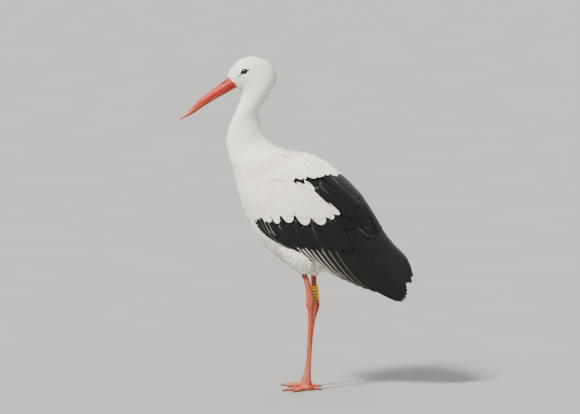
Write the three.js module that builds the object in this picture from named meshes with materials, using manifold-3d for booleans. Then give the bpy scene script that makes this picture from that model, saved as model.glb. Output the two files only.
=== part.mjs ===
// White stork standing at rest, life size, in millimetres with +Z up.
// The bird faces -Y and its left side is +X. The origin lies on the floor under the middle of
// the bird's length.
//
// Every soft form is a loft: a closed cylinder whose rings are laid between two side-view curves,
// a leading one (crown, back, front of a leg) and a trailing one (throat, belly, back of a leg),
// with a half width that changes along it. A loft is parted into lengths by ending one length
// just before a station and starting the next just after it.

import * as THREE from 'three';
import { mergeVertices } from 'three/addons/utils/BufferGeometryUtils.js';
import Module from 'manifold-3d';

const wasm = await Module();
wasm.setup();

// ---------------------------------------------------------------------------------------------
// Driving dimensions
// ---------------------------------------------------------------------------------------------

const GAP = 0.3;                 // clearance between neighbouring pieces
const BODY_SEGMENTS = 20;        // facets round the head, neck and trunk
const LEG_SEGMENTS = 10;         // facets round a leg
const TOE_SEGMENTS = 8;          // facets round a toe or claw

const EYE_RADIUS = 8.2;
const EYE_CENTRE = { x: 17.4, y: -143, z: 876 };

const LEG_SPACING = 80;          // between the centre lines of the two legs
const WING_REACH = 140;          // half width of the slab that bounds a wing, wider than the bird

const COVERT_STEP = 3.5;         // the coverts lie this much proud of the flight feathers

const RING_RADIUS = 11.2;        // outside of the leg ring
const RING_BORE = 9.7;
const RING_HEIGHT = 38;

const TOE_ROOT_RADIUS = 6.4;
const TOE_TIP_RADIUS = 4.2;
const CLAW_LENGTH = 10;
const SOLE_LEVEL = 0;

// Toe name: [length without the claw, direction in degrees from straight ahead, turned outward]
const TOES = {
  inner: [46, -30],
  middle: [64, 6],
  outer: [56, 40],
  hind: [34, 176],
};

// ---------------------------------------------------------------------------------------------
// Stations, each { lead: [y, z], trail: [y, z], half: half width, square: section exponent }
// ---------------------------------------------------------------------------------------------

const station = (lead, trail, half, square = 2) => ({ lead, trail, half, square });

const BILL = [
  station([-190, 857.5], [-163.5, 831.5], 14),
  station([-212, 841.5], [-197.5, 814], 12.2),
  station([-238, 822], [-228, 797], 10),
  station([-266, 800], [-260, 777], 7.6),
  station([-292, 775], [-288, 758], 5),
  station([-313, 754.5], [-311, 746.8], 2.9),
  station([-324.4, 744.4], [-323.6, 742.6], 1.1),
];

// The cutting edge where the two halves of the bill meet, from the gape to the tip
const TOMIUM = [[-150, 856], [-166.7, 845], [-200, 820], [-247, 790.5], [-278, 772.8], [-330, 741]];

const HEAD_END = 9;              // station index where the head is parted from the neck
const NECK_PARTS = [9, 12.5, 16];
const TRUNK_START = 16;

const BODY = [
  // head
  station([-191, 864.5], [-161, 828], 16.5, 2.1),
  station([-183.5, 880], [-156.5, 824], 19.6, 2.1),
  station([-172, 894.6], [-152, 820.5], 22.4, 2.1),
  station([-152.6, 910], [-149.5, 818.5], 24.3),
  station([-128, 917], [-149.5, 816], 25.2),
  station([-101, 913], [-150.5, 812], 25.8),
  station([-79, 901.5], [-152.5, 806.5], 26.2),
  station([-63.5, 882], [-155.5, 799.5], 26.6),
  station([-58, 858], [-159, 790], 26.8),
  // neck
  station([-65.5, 834], [-163.5, 779], 27),
  station([-79, 809], [-168.5, 766], 27),
  station([-97, 781], [-176, 748.5], 27),
  station([-106.4, 757], [-184.5, 730], 28),
  station([-102.5, 733], [-190.5, 709.5], 30),
  station([-92.5, 705], [-194, 687], 34),
  station([-76.5, 684], [-192.5, 667], 39),
  station([-54, 669], [-188.5, 648], 47),
  // trunk
  station([-20, 658], [-181, 617], 61, 2.1),
  station([15, 650], [-172, 583], 74, 2.2),
  station([52, 634], [-161, 542], 83, 2.3),
  station([86, 606], [-145, 492], 88, 2.3),
  station([110, 570], [-121, 440], 88, 2.3),
  station([124, 528], [-90, 397], 83, 2.2),
  station([133, 485], [-50, 360], 74, 2.1),
  station([141, 445], [-5, 334], 61),
  station([151, 410], [45, 326], 45),
  station([165, 378], [95, 319], 31),
  station([182, 352], [136, 305], 23),
];

const TAIL = [
  station([183, 350.5], [137, 303.5], 22),
  station([205, 325], [170, 286], 26),
  station([236, 294], [217, 271], 28),
  station([262, 268], [252, 257], 27),
];

// Outside of the folded wings, both together, from the shoulders to the wing tips
const WINGS = [
  station([-75, 670], [-190, 640], 50),
  station([-20, 661], [-182, 612], 66, 2.1),
  station([22, 652], [-173, 578], 79, 2.2),
  station([62, 637], [-162, 537], 88, 2.3),
  station([97, 614.5], [-146, 488], 93, 2.3),
  station([127, 589.5], [-122, 436], 94, 2.3),
  station([159.5, 558], [-90, 392], 90, 2.2),
  station([189, 523], [-45, 352], 82, 2.2),
  station([214, 482.5], [10, 315], 72, 2.1),
  station([237, 443], [80, 270], 62),
  station([269, 402], [150, 230], 52),
  station([304, 364], [215, 205], 43),
  station([326, 322], [272, 195], 36),
  station([336, 285], [310, 205], 31),
];

// Thickness of a folded wing's layers of feathers, at the shoulder and at the tip
const WING_WALL_FRONT = 11;
const WING_WALL_REAR = 5.5;

// Side-view outlines of the three feather groups of a wing, as splines through [y, z] points.
// Each is drawn past the outside of the wings where it is their surface that ends the piece.
const SEAM_UPPER = [[-146, 602], [-92, 596], [-50, 582], [-11, 573], [24, 545], [92, 500], [114, 487]];
const SEAM_TERTIAL = [[114, 487], [152, 474], [190, 456], [236, 436]];
const SEAM_COVERT = [[114, 487], [150, 430], [165, 394]];
const SEAM_LOWER = [[165, 394], [120, 386], [40, 388], [-18, 399]];
const EDGE_FRONT = [[-18, 399], [-55, 415.5], [-81, 429], [-99, 465], [-124, 520], [-146, 602]];
const EDGE_SCAPULAR = [[-146, 602], [-112, 622], [-62, 644], [-22, 674]];
const EDGE_LOWER = [
  [-18, 399], [19, 373], [63, 343], [92, 321], [129, 303], [159, 288], [199, 277], [228, 266],
  [269, 250],
];
const EDGE_TIPS = [[269, 250], [288, 240], [300, 247], [306, 266], [304, 297]];
const EDGE_TIP_UPPER = [[304, 297], [316, 293], [323, 305], [323, 330], [306, 364]];
const ABOVE_BACK = 720;          // height that clears the top of the wings in an outline

// Legs, by side: the feathered thigh, the bare limb from it to the foot, the station indices where
// the limb is parted into shank, ankle and tarsus, and where the foot stands and points.
const LEGS = {
  l: {
    thigh: [
      station([-66, 455], [62, 440], 30),
      station([-57, 402], [62, 392], 31),
      station([-36, 361], [54, 352], 25),
      station([-10, 334], [41, 333], 17),
      station([6, 321.5], [31, 322.5], 11.5),
    ],
    limb: [
      station([10.5, 321], [27, 322], 6.2),
      station([16.8, 307], [33, 308], 6.4),
      station([22.5, 283], [40.5, 284], 7.4),
      station([25, 265], [46, 265], 9),
      station([24.5, 249], [49, 247], 10.4),
      station([24.2, 236], [49, 235], 10.2),
      station([28.5, 223], [47, 223], 8.2),
      station([30, 209], [45.6, 209], 6.4),
      station([29, 165], [42, 165], 5.6),
      station([27, 112], [40.2, 112], 5.7),
      station([24, 66], [39.2, 66], 6.2),
      station([20, 40], [38.6, 40], 7.2),
      station([14, 20], [40, 20], 9.6),
      station([12, 8], [41, 8], 10),
    ],
    parts: { shankEnd: 3.2, ankleEnd: 6.6 },
    foot: { y: 27, turn: 14 },
  },
  r: {
    thigh: [
      station([-62, 455], [66, 440], 30),
      station([-52, 402], [70, 390], 31),
      station([-24, 359], [74, 347], 25),
      station([12, 327], [68, 325], 17),
      station([35, 311], [59, 312], 11.5),
    ],
    limb: [
      station([38.8, 310.5], [54.2, 311.5], 6),
      station([39, 298], [54.2, 299], 6.2),
      station([40.5, 272], [55.5, 273], 6.4),
      station([43, 251], [59, 251.5], 7),
      station([43.6, 243], [60.6, 242.6], 7.8),
      station([39.2, 232], [63, 231], 10.2),
      station([38.4, 222], [62.2, 221], 10.2),
      station([40.2, 208], [58.2, 208], 8),
      station([39.4, 195], [53.6, 195], 6.4),
      station([34, 158], [46.8, 158], 5.6),
      station([29.5, 112], [42.4, 112], 5.7),
      station([24.5, 66], [39.4, 66], 6.2),
      station([19, 40], [37.8, 40], 7.2),
      station([12, 20], [38, 20], 9.6),
      station([10, 8], [39, 8], 10),
    ],
    parts: { shankEnd: 4, ankleEnd: 7.6 },
    foot: { y: 25, turn: 10 },
  },
};
const RING_STATIONS = [1.7, 3.8]; // the limb stations between which the leg ring is centred

const PALM = { length: 19, width: 14.5, height: 13 };
const WEB = { reach: 30, spread: 34, thickness: 4 };

// ---------------------------------------------------------------------------------------------
// Geometry helpers
// ---------------------------------------------------------------------------------------------

const Y_AXIS = new THREE.Vector3(0, 1, 0);
const Z_AXIS = new THREE.Vector3(0, 0, 1);
const X_AXIS = new THREE.Vector3(1, 0, 0);

/** A smooth curve through one field of a row of stations, read by station index. */
function curveThrough(vectors) {
  const curve = new THREE.CatmullRomCurve3(vectors, false, 'centripetal');
  const last = vectors.length - 1;
  return (index) => curve.getPoint(THREE.MathUtils.clamp(index / last, 0, 1));
}

/** The loft's curves: leading edge, trailing edge, and half width with section exponent. */
function loftCurves(stations) {
  return {
    lead: curveThrough(stations.map((s) => new THREE.Vector3(0, ...s.lead))),
    trail: curveThrough(stations.map((s) => new THREE.Vector3(0, ...s.trail))),
    size: curveThrough(stations.map((s) => new THREE.Vector3(s.half, s.square, 0))),
    last: stations.length - 1,
  };
}

const signedPower = (value, power) => Math.sign(value) * Math.abs(value) ** power;

/**
 * A closed loft between two station indices.
 * options: from, to, rings, segments, centreX, grow (mm added all round, or a function of index)
 */
function loft(stations, options = {}) {
  const curves = loftCurves(stations);
  const { from = 0, to = curves.last, segments = BODY_SEGMENTS, centreX = 0, grow = 0 } = options;
  const rings = options.rings ?? Math.max(1, Math.round((to - from) * 2));
  const geometry = new THREE.CylinderGeometry(1, 1, 1, segments, rings);
  const position = geometry.attributes.position;
  for (let i = 0; i < position.count; i += 1) {
    const index = THREE.MathUtils.lerp(from, to, 0.5 - position.getY(i));
    const lead = curves.lead(index);
    const trail = curves.trail(index);
    const { x: half, y: square } = curves.size(index);
    const extra = typeof grow === 'function' ? grow(index) : grow;
    const axis = lead.clone().sub(trail);
    const depth = axis.length() / 2 + extra;
    const across = signedPower(position.getX(i), 2 / square) * (half + extra);
    const along = signedPower(position.getZ(i), 2 / square) * depth;
    const point = lead.add(trail).multiplyScalar(0.5);
    point.addScaledVector(axis.normalize(), along);
    point.x += centreX + across;
    position.setXYZ(i, point.x, point.y, point.z);
  }
  return outward(geometry);
}

/** Turns a closed geometry's faces outwards, if its signed volume says that they point inwards. */
function outward(geometry) {
  const welded = weld(geometry);
  const index = welded.index;
  const position = welded.attributes.position;
  const [a, b, c] = [new THREE.Vector3(), new THREE.Vector3(), new THREE.Vector3()];
  let volume = 0;
  for (let i = 0; i < index.count; i += 3) {
    a.fromBufferAttribute(position, index.getX(i));
    b.fromBufferAttribute(position, index.getX(i + 1));
    c.fromBufferAttribute(position, index.getX(i + 2));
    volume += a.dot(b.cross(c));
  }
  if (volume < 0) {
    for (let i = 0; i < index.count; i += 3) {
      const first = index.getX(i);
      index.setX(i, index.getX(i + 2));
      index.setX(i + 2, first);
    }
  }
  return welded;
}

/** Position-only copy of a geometry with its shared vertices merged. */
function weld(geometry) {
  const bare = geometry.clone();
  bare.deleteAttribute('normal');
  bare.deleteAttribute('uv');
  return mergeVertices(bare, 1e-4);
}

/** A closed three.js geometry as a manifold solid. */
function solid(geometry) {
  const welded = outward(geometry);
  return new wasm.Manifold(new wasm.Mesh({
    numProp: 3,
    vertProperties: new Float32Array(welded.attributes.position.array),
    triVerts: new Uint32Array(welded.index.array),
  }));
}

/** A manifold solid's largest piece as a three.js geometry. */
function fromSolid(manifold) {
  const pieces = manifold.decompose();
  pieces.sort((first, second) => second.volume() - first.volume());
  const mesh = pieces[0].getMesh();
  const geometry = new THREE.BufferGeometry();
  geometry.setAttribute('position', new THREE.BufferAttribute(mesh.vertProperties, mesh.numProp));
  geometry.setIndex(new THREE.BufferAttribute(mesh.triVerts, 1));
  return geometry;
}

/** A slab along X whose side view is the closed spline outline, from x = near to x = far. */
function slab(runs, near, far) {
  const shape = new THREE.Shape();
  const points = runs.map((run) => run.map(([y, z]) => new THREE.Vector2(y, z)));
  shape.moveTo(points[0][0].x, points[0][0].y);
  for (const run of points) {
    const steps = 2 * run.length;
    const curve = run.length > 2 ? new THREE.SplineCurve(run) : null;
    const ends = curve ? curve.getPoints(steps) : run;
    ends.slice(1).forEach((point) => shape.lineTo(point.x, point.y));
  }
  const geometry = new THREE.ExtrudeGeometry(shape, { depth: far - near, bevelEnabled: false });
  geometry.applyMatrix4(new THREE.Matrix4().makeBasis(Y_AXIS, Z_AXIS, X_AXIS));
  geometry.translate(near, 0, 0);
  return solid(geometry);
}

const reversed = (run) => [...run].reverse();

/** Moves every point of a run of outline points by the same step. */
const shifted = (run, dy, dz) => run.map(([y, z]) => [y + dy, z + dz]);

// ---------------------------------------------------------------------------------------------
// Materials
// ---------------------------------------------------------------------------------------------

const finish = (color, roughness) => new THREE.MeshStandardMaterial({ color, roughness, metalness: 0 });

const materials = {
  whiteFeather: () => finish(0xf2efe6, 0.8),
  creamFeather: () => finish(0xe9e2d3, 0.8),
  blackFeather: () => finish(0x1c2324, 0.55),
  bill: () => finish(0xd4513f, 0.45),
  leg: () => finish(0xe07a63, 0.6),
  claw: () => finish(0x4a3a34, 0.5),
  eye: () => finish(0x120d0b, 0.1),
  ring: () => finish(0xe9bd14, 0.4),
};

const group = new THREE.Group();

/** Adds a named mesh to the bird. */
function addMesh(name, geometry, material) {
  const mesh = new THREE.Mesh(geometry, material);
  mesh.name = name;
  group.add(mesh);
  return mesh;
}

// ---------------------------------------------------------------------------------------------
// Bill
// ---------------------------------------------------------------------------------------------

function addBill() {
  const whole = solid(loft(BILL, { segments: 12, rings: 9 }));
  const above = [TOMIUM, [[-330, 741], [-330, 930]], [[-330, 930], [-150, 930]], [[-150, 930], [-150, 856]]];
  const below = [TOMIUM, [[-330, 741], [-330, 700]], [[-330, 700], [-150, 700]], [[-150, 700], [-150, 856]]];
  const lift = GAP / 2;
  const upperSlab = slab(above.map((run) => shifted(run, 0, lift)), -WING_REACH, WING_REACH);
  const lowerSlab = slab(below.map((run) => shifted(run, 0, -lift)), -WING_REACH, WING_REACH);
  addMesh('bill_upper', fromSolid(whole.intersect(upperSlab)), materials.bill());
  addMesh('bill_lower', fromSolid(whole.intersect(lowerSlab)), materials.bill());
}

// ---------------------------------------------------------------------------------------------
// Head, eyes and neck
// ---------------------------------------------------------------------------------------------

/** Station step that opens a cut of one GAP, given the mean distance between two stations. */
const cutStep = (stations, index) => {
  const curves = loftCurves(stations);
  const step = 0.05;
  const leadMove = curves.lead(index + step).distanceTo(curves.lead(index - step));
  const trailMove = curves.trail(index + step).distanceTo(curves.trail(index - step));
  return (GAP / Math.min(leadMove, trailMove)) * step;
};

function eyeball(side, radius) {
  const sphere = new THREE.SphereGeometry(radius, 12, 7);
  sphere.rotateZ(Math.PI / 2);
  sphere.translate(side * EYE_CENTRE.x, EYE_CENTRE.y, EYE_CENTRE.z);
  return sphere;
}

function addHead() {
  const to = HEAD_END - cutStep(BODY, HEAD_END);
  const from = cutStep(BODY, 0) * 2;
  let skull = solid(loft(BODY, { from, to, rings: 12 }));
  for (const side of [1, -1]) {
    skull = skull.subtract(solid(eyeball(side, EYE_RADIUS + GAP)));
    addMesh(side > 0 ? 'eye_l' : 'eye_r', outward(eyeball(side, EYE_RADIUS)), materials.eye());
  }
  addMesh('head', fromSolid(skull), materials.whiteFeather());
}

function addNeck() {
  const names = ['neck_upper', 'neck_lower'];
  names.forEach((name, part) => {
    const start = NECK_PARTS[part];
    const end = NECK_PARTS[part + 1];
    const range = { from: start + cutStep(BODY, start), to: end - cutStep(BODY, end), rings: 6 };
    addMesh(name, outward(loft(BODY, range)), materials.whiteFeather());
  });
}

// ---------------------------------------------------------------------------------------------
// Wings
// ---------------------------------------------------------------------------------------------

const EDGE_TOP = [[-22, 674], [-22, ABOVE_BACK]];
const EDGE_OVER = [[-22, ABOVE_BACK], [360, ABOVE_BACK]];

const OUTLINES = {
  scapulars: [
    EDGE_SCAPULAR, EDGE_TOP, EDGE_OVER, [[360, ABOVE_BACK], [360, 436]], [[360, 436], [236, 436]],
    reversed(SEAM_TERTIAL), reversed(SEAM_UPPER),
  ],
  coverts: [SEAM_UPPER, SEAM_COVERT, SEAM_LOWER, EDGE_FRONT],
  flight: [
    EDGE_LOWER, EDGE_TIPS, EDGE_TIP_UPPER, [[306, 364], [360, 436]], [[360, 436], [236, 436]],
    reversed(SEAM_TERTIAL), SEAM_COVERT, SEAM_LOWER,
  ],
};

/** The shell of both wings, in whose outline the feather groups are cut out. */
function wingShell(outerGrow, innerGrow) {
  const last = WINGS.length - 1;
  const wall = (index) => THREE.MathUtils.lerp(WING_WALL_FRONT, WING_WALL_REAR, index / last);
  const outer = solid(loft(WINGS, { rings: 14, grow: outerGrow }));
  const inner = solid(loft(WINGS, { rings: 14, grow: (index) => innerGrow - wall(index) }));
  return outer.subtract(inner);
}

/** The slab of one feather group on one side of the bird. */
function wingSlab(name, side) {
  const near = side > 0 ? GAP / 2 : -WING_REACH;
  const far = side > 0 ? WING_REACH : -GAP / 2;
  return slab(OUTLINES[name], near, far);
}

/** A thin slab along a seam, which parts two feather groups. */
function seamCut(run) {
  const lower = reversed(shifted(run, 0, -GAP));
  const ends = [[run[run.length - 1], lower[0]], [lower[lower.length - 1], run[0]]];
  return slab([run, ends[0], lower, ends[1]], -WING_REACH, WING_REACH);
}

function addWings() {
  const shell = wingShell(0, 0);
  const lowShell = wingShell(-COVERT_STEP, 0);
  const seams = [SEAM_UPPER, SEAM_TERTIAL, SEAM_LOWER].map(seamCut);
  seams.push(slab([
    SEAM_COVERT, [[165, 394], [165 - GAP * 2, 394]],
    reversed(shifted(SEAM_COVERT, -GAP * 2, 0)), [[114 - GAP * 2, 487], [114, 487]],
  ], -WING_REACH, WING_REACH));
  for (const [side, letter] of [[1, 'l'], [-1, 'r']]) {
    for (const name of Object.keys(OUTLINES)) {
      let piece = (name === 'flight' ? lowShell : shell).intersect(wingSlab(name, side));
      seams.forEach((seam) => {
        piece = piece.subtract(seam);
      });
      const material = name === 'coverts' ? materials.creamFeather() : materials.blackFeather();
      addMesh(`${name}_${letter}`, fromSolid(piece), material);
    }
  }
}

// ---------------------------------------------------------------------------------------------
// Trunk, thighs and tail
// ---------------------------------------------------------------------------------------------

/** The room that the trunk and the thighs leave for the two wings. */
function pockets() {
  const outside = 14;
  const shell = wingShell(outside, -GAP);
  const whole = ['scapulars', 'coverts', 'flight']
    .map((name) => slab(OUTLINES[name], -WING_REACH, WING_REACH))
    .reduce((sum, next) => sum.add(next));
  return shell.intersect(whole);
}

function thighGeometry(letter, grow) {
  const centreX = (letter === 'l' ? 1 : -1) * (LEG_SPACING / 2 + 4);
  return loft(LEGS[letter].thigh, { segments: 12, rings: 5, centreX, grow });
}

function addTrunk() {
  const from = TRUNK_START + cutStep(BODY, TRUNK_START);
  const wingSpace = pockets();
  let trunk = solid(loft(BODY, { from, rings: 12 })).subtract(wingSpace);
  for (const letter of ['l', 'r']) {
    trunk = trunk.subtract(solid(thighGeometry(letter, GAP)));
    const thigh = solid(thighGeometry(letter, 0)).subtract(wingSpace);
    addMesh(`thigh_${letter}`, fromSolid(thigh), materials.whiteFeather());
  }
  addMesh('trunk', fromSolid(trunk), materials.whiteFeather());
  const tail = loft(TAIL, { segments: 14, rings: 4 });
  addMesh('tail', outward(tail), materials.whiteFeather());
}

// ---------------------------------------------------------------------------------------------
// Legs, feet and ring
// ---------------------------------------------------------------------------------------------

/** A rounded form resting on the floor: whatever would lie below the sole is pressed flat. */
function pressFlat(geometry, level) {
  const position = geometry.attributes.position;
  for (let i = 0; i < position.count; i += 1) {
    position.setZ(i, Math.max(position.getZ(i), level));
  }
  return geometry;
}

/** The ball of the foot with the short webs between the front toes. */
function palmSolid(foot, centreX, turnSign, grow) {
  const ball = new THREE.SphereGeometry(1, 12, 6);
  ball.scale(PALM.width + grow, PALM.length + grow, PALM.height + grow);
  ball.translate(0, 0, PALM.height * 0.42);
  const fan = new THREE.Shape();
  const spread = THREE.MathUtils.degToRad(WEB.spread);
  fan.moveTo(0, 0);
  fan.absarc(0, 0, WEB.reach + grow, -Math.PI / 2 - spread, -Math.PI / 2 + spread, false);
  fan.closePath();
  const web = new THREE.ExtrudeGeometry(fan, {
    depth: WEB.thickness + grow, bevelEnabled: false, curveSegments: 5,
  });
  const place = (geometry) => {
    geometry.rotateZ(turnSign * THREE.MathUtils.degToRad(foot.turn));
    geometry.translate(centreX, foot.y, 0);
    return solid(pressFlat(geometry, SOLE_LEVEL));
  };
  return place(ball).add(place(web));
}

/** Stations of a toe, laid along -Y from the foot's centre, with swollen pads under its joints. */
function toeStations(length) {
  const pads = 3;
  const count = pads * 2 + 1;
  return Array.from({ length: count }, (_, i) => {
    const run = i / (count - 1);
    const swell = 1 + 0.09 * Math.cos(run * pads * 2 * Math.PI);
    const radius = THREE.MathUtils.lerp(TOE_ROOT_RADIUS, TOE_TIP_RADIUS, run) * swell;
    const y = -4 - run * (length - 4);
    return station([y, 1.75 * radius], [y, -0.35 * radius], radius * 0.98);
  });
}

function clawStations(length) {
  const start = -length - GAP;
  return [
    station([start, 6], [start, 0.4], 3.3),
    station([start - CLAW_LENGTH * 0.5, 4.6], [start - CLAW_LENGTH * 0.5, 0.4], 2.4),
    station([start - CLAW_LENGTH, 1.7], [start - CLAW_LENGTH, 0.5], 0.8),
  ];
}

function addFoot(letter, sign) {
  const { foot } = LEGS[letter];
  const centreX = (sign * LEG_SPACING) / 2;
  const lay = (geometry, degrees) => {
    geometry.rotateZ(sign * THREE.MathUtils.degToRad(degrees + foot.turn));
    geometry.translate(centreX, foot.y, 0);
    return pressFlat(geometry, SOLE_LEVEL);
  };
  let space = palmSolid(foot, centreX, sign, GAP);
  addMesh(`palm_${letter}`, fromSolid(palmSolid(foot, centreX, sign, 0)), materials.leg());
  for (const [name, [length, degrees]] of Object.entries(TOES)) {
    const toe = (grow) => (
      solid(lay(loft(toeStations(length), { segments: TOE_SEGMENTS, rings: 4, grow }), degrees))
    );
    addMesh(`toe_${name}_${letter}`, fromSolid(toe(0).subtract(space)), materials.leg());
    space = space.add(toe(GAP));
    const claw = lay(loft(clawStations(length), { segments: 6, rings: 2 }), degrees);
    addMesh(`claw_${name}_${letter}`, outward(claw), materials.claw());
  }
}

/** The leg ring: a tube along the bare shank, open at both ends. */
function addRing() {
  const limb = LEGS.r.limb;
  const curves = loftCurves(limb);
  const middle = (index) => curves.lead(index).add(curves.trail(index)).multiplyScalar(0.5);
  const [top, bottom] = RING_STATIONS.map(middle);
  const axis = top.clone().sub(bottom).normalize();
  const half = RING_HEIGHT / 2;
  const profile = [
    [RING_BORE, -half], [RING_RADIUS, -half], [RING_RADIUS, half], [RING_BORE, half], [RING_BORE, -half],
  ].map(([radius, height]) => new THREE.Vector2(radius, height));
  const ring = new THREE.LatheGeometry(profile, 16);
  ring.applyQuaternion(new THREE.Quaternion().setFromUnitVectors(Y_AXIS, axis));
  const centre = top.add(bottom).multiplyScalar(0.5);
  ring.translate(-LEG_SPACING / 2, centre.y, centre.z);
  addMesh('leg_ring', outward(ring), materials.ring());
}

function addLegs() {
  for (const [sign, letter] of [[1, 'l'], [-1, 'r']]) {
    const { limb, parts, foot } = LEGS[letter];
    const { shankEnd, ankleEnd } = parts;
    const centreX = (sign * LEG_SPACING) / 2;
    const base = { segments: LEG_SEGMENTS, centreX };
    const cut = (index) => cutStep(limb, index);
    const shank = loft(limb, { ...base, to: shankEnd - cut(shankEnd), rings: 4 });
    const ankle = loft(limb, {
      ...base, from: shankEnd + cut(shankEnd), to: ankleEnd - cut(ankleEnd), rings: 6,
    });
    const tarsus = loft(limb, { ...base, from: ankleEnd + cut(ankleEnd), rings: 8 });
    addMesh(`shank_${letter}`, outward(shank), materials.leg());
    addMesh(`ankle_${letter}`, outward(ankle), materials.leg());
    const palmSpace = palmSolid(foot, centreX, sign, GAP);
    addMesh(`tarsus_${letter}`, fromSolid(solid(tarsus).subtract(palmSpace)), materials.leg());
    addFoot(letter, sign);
  }
  addRing();
}

addBill();
addHead();
addNeck();
addTrunk();
addWings();
addLegs();

export default group;
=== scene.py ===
"""A white stork at rest, life size: skin, plumage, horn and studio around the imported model.

Sizes are in millimetres in the classes below and become metres where a mesh is made. The bird
faces -Y, its left side is +X, and the floor is at Z = 0.
"""

from __future__ import annotations

import logging
import math
from dataclasses import dataclass, field
from enum import Enum
from typing import Callable, Sequence

import bmesh
import bpy
import numpy as np
from mathutils import Matrix, Vector


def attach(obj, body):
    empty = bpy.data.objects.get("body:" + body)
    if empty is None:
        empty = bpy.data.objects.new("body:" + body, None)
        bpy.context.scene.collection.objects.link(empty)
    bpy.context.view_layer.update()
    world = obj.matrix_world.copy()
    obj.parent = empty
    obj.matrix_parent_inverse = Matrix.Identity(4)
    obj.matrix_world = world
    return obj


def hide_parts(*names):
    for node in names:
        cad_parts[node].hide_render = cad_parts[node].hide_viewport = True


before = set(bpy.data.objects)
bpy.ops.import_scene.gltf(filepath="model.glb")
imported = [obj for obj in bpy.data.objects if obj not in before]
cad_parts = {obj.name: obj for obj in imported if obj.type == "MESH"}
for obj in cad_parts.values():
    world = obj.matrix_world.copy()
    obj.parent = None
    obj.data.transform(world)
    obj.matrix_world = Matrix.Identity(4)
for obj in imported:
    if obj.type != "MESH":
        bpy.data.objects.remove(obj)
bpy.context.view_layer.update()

LOG = logging.getLogger("stork")
MM = 0.001

Array = np.ndarray
Point = tuple[float, float]
Socket = bpy.types.NodeSocket
# the direction wanted at places, given (along, around, point)
Lie = Callable[[Array, Array, Array], Array]
# feathers' middle lines: places along and places round, one row for a feather
Lines = tuple[Array, Array]


class Side(Enum):
    """The two sides of the bird, by the sign of X."""

    LEFT = 1
    RIGHT = -1

    @property
    def letter(self) -> str:
        """The letter that ends a piece's name on this side."""
        return "l" if self is Side.LEFT else "r"


# ---- Curves and forms ----


class Spline:
    """A smooth curve through points, read by point index; its speed eases where points crowd."""

    def __init__(self, points: Sequence[Sequence[float]]) -> None:
        """Keeps the points.

        Args:
            points: the points that the curve passes through.
        """
        self.points = np.array(points, float)

    def at(self, index: Array | float) -> Array:
        """Points on the curve.

        Args:
            index: place along the curve, counted in points, whole or fractional.

        Returns:
            An array of points, one for each index.
        """
        points = self.points
        last = len(points) - 1
        index = np.clip(np.asarray(index, float), 0, last)
        start = np.minimum(index.astype(int), last - 1)
        run = (index - start)[..., None]
        row = np.vstack([2 * points[0] - points[1], points, 2 * points[-1] - points[-2]])
        p0, p1, p2, p3 = (row[start + k] for k in range(4))

        def gap(a: Array, b: Array) -> Array:
            return np.maximum(((a - b) ** 2).sum(-1, keepdims=True) ** 0.25, 1e-4)

        d0, d1, d2 = gap(p0, p1), gap(p1, p2), gap(p2, p3)
        leave = ((p1 - p0) / d0 - (p2 - p0) / (d0 + d1) + (p2 - p1) / d1) * d1
        reach = ((p2 - p1) / d1 - (p3 - p1) / (d1 + d2) + (p3 - p2) / d2) * d1
        square = -3 * p1 + 3 * p2 - 2 * leave - reach
        cube = 2 * p1 - 2 * p2 + leave + reach
        return p1 + leave * run + square * run**2 + cube * run**3


@dataclass(frozen=True)
class Station:
    """One section of a form: side-view ends of its axis, half its width, and its squareness."""

    lead: Point
    trail: Point
    half: float
    square: float = 2.0


def stations(*rows: tuple) -> tuple[Station, ...]:
    """Stations from rows of (lead y, lead z, trail y, trail z, half width, squareness)."""
    return tuple(Station((r[0], r[1]), (r[2], r[3]), *r[4:]) for r in rows)


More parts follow.
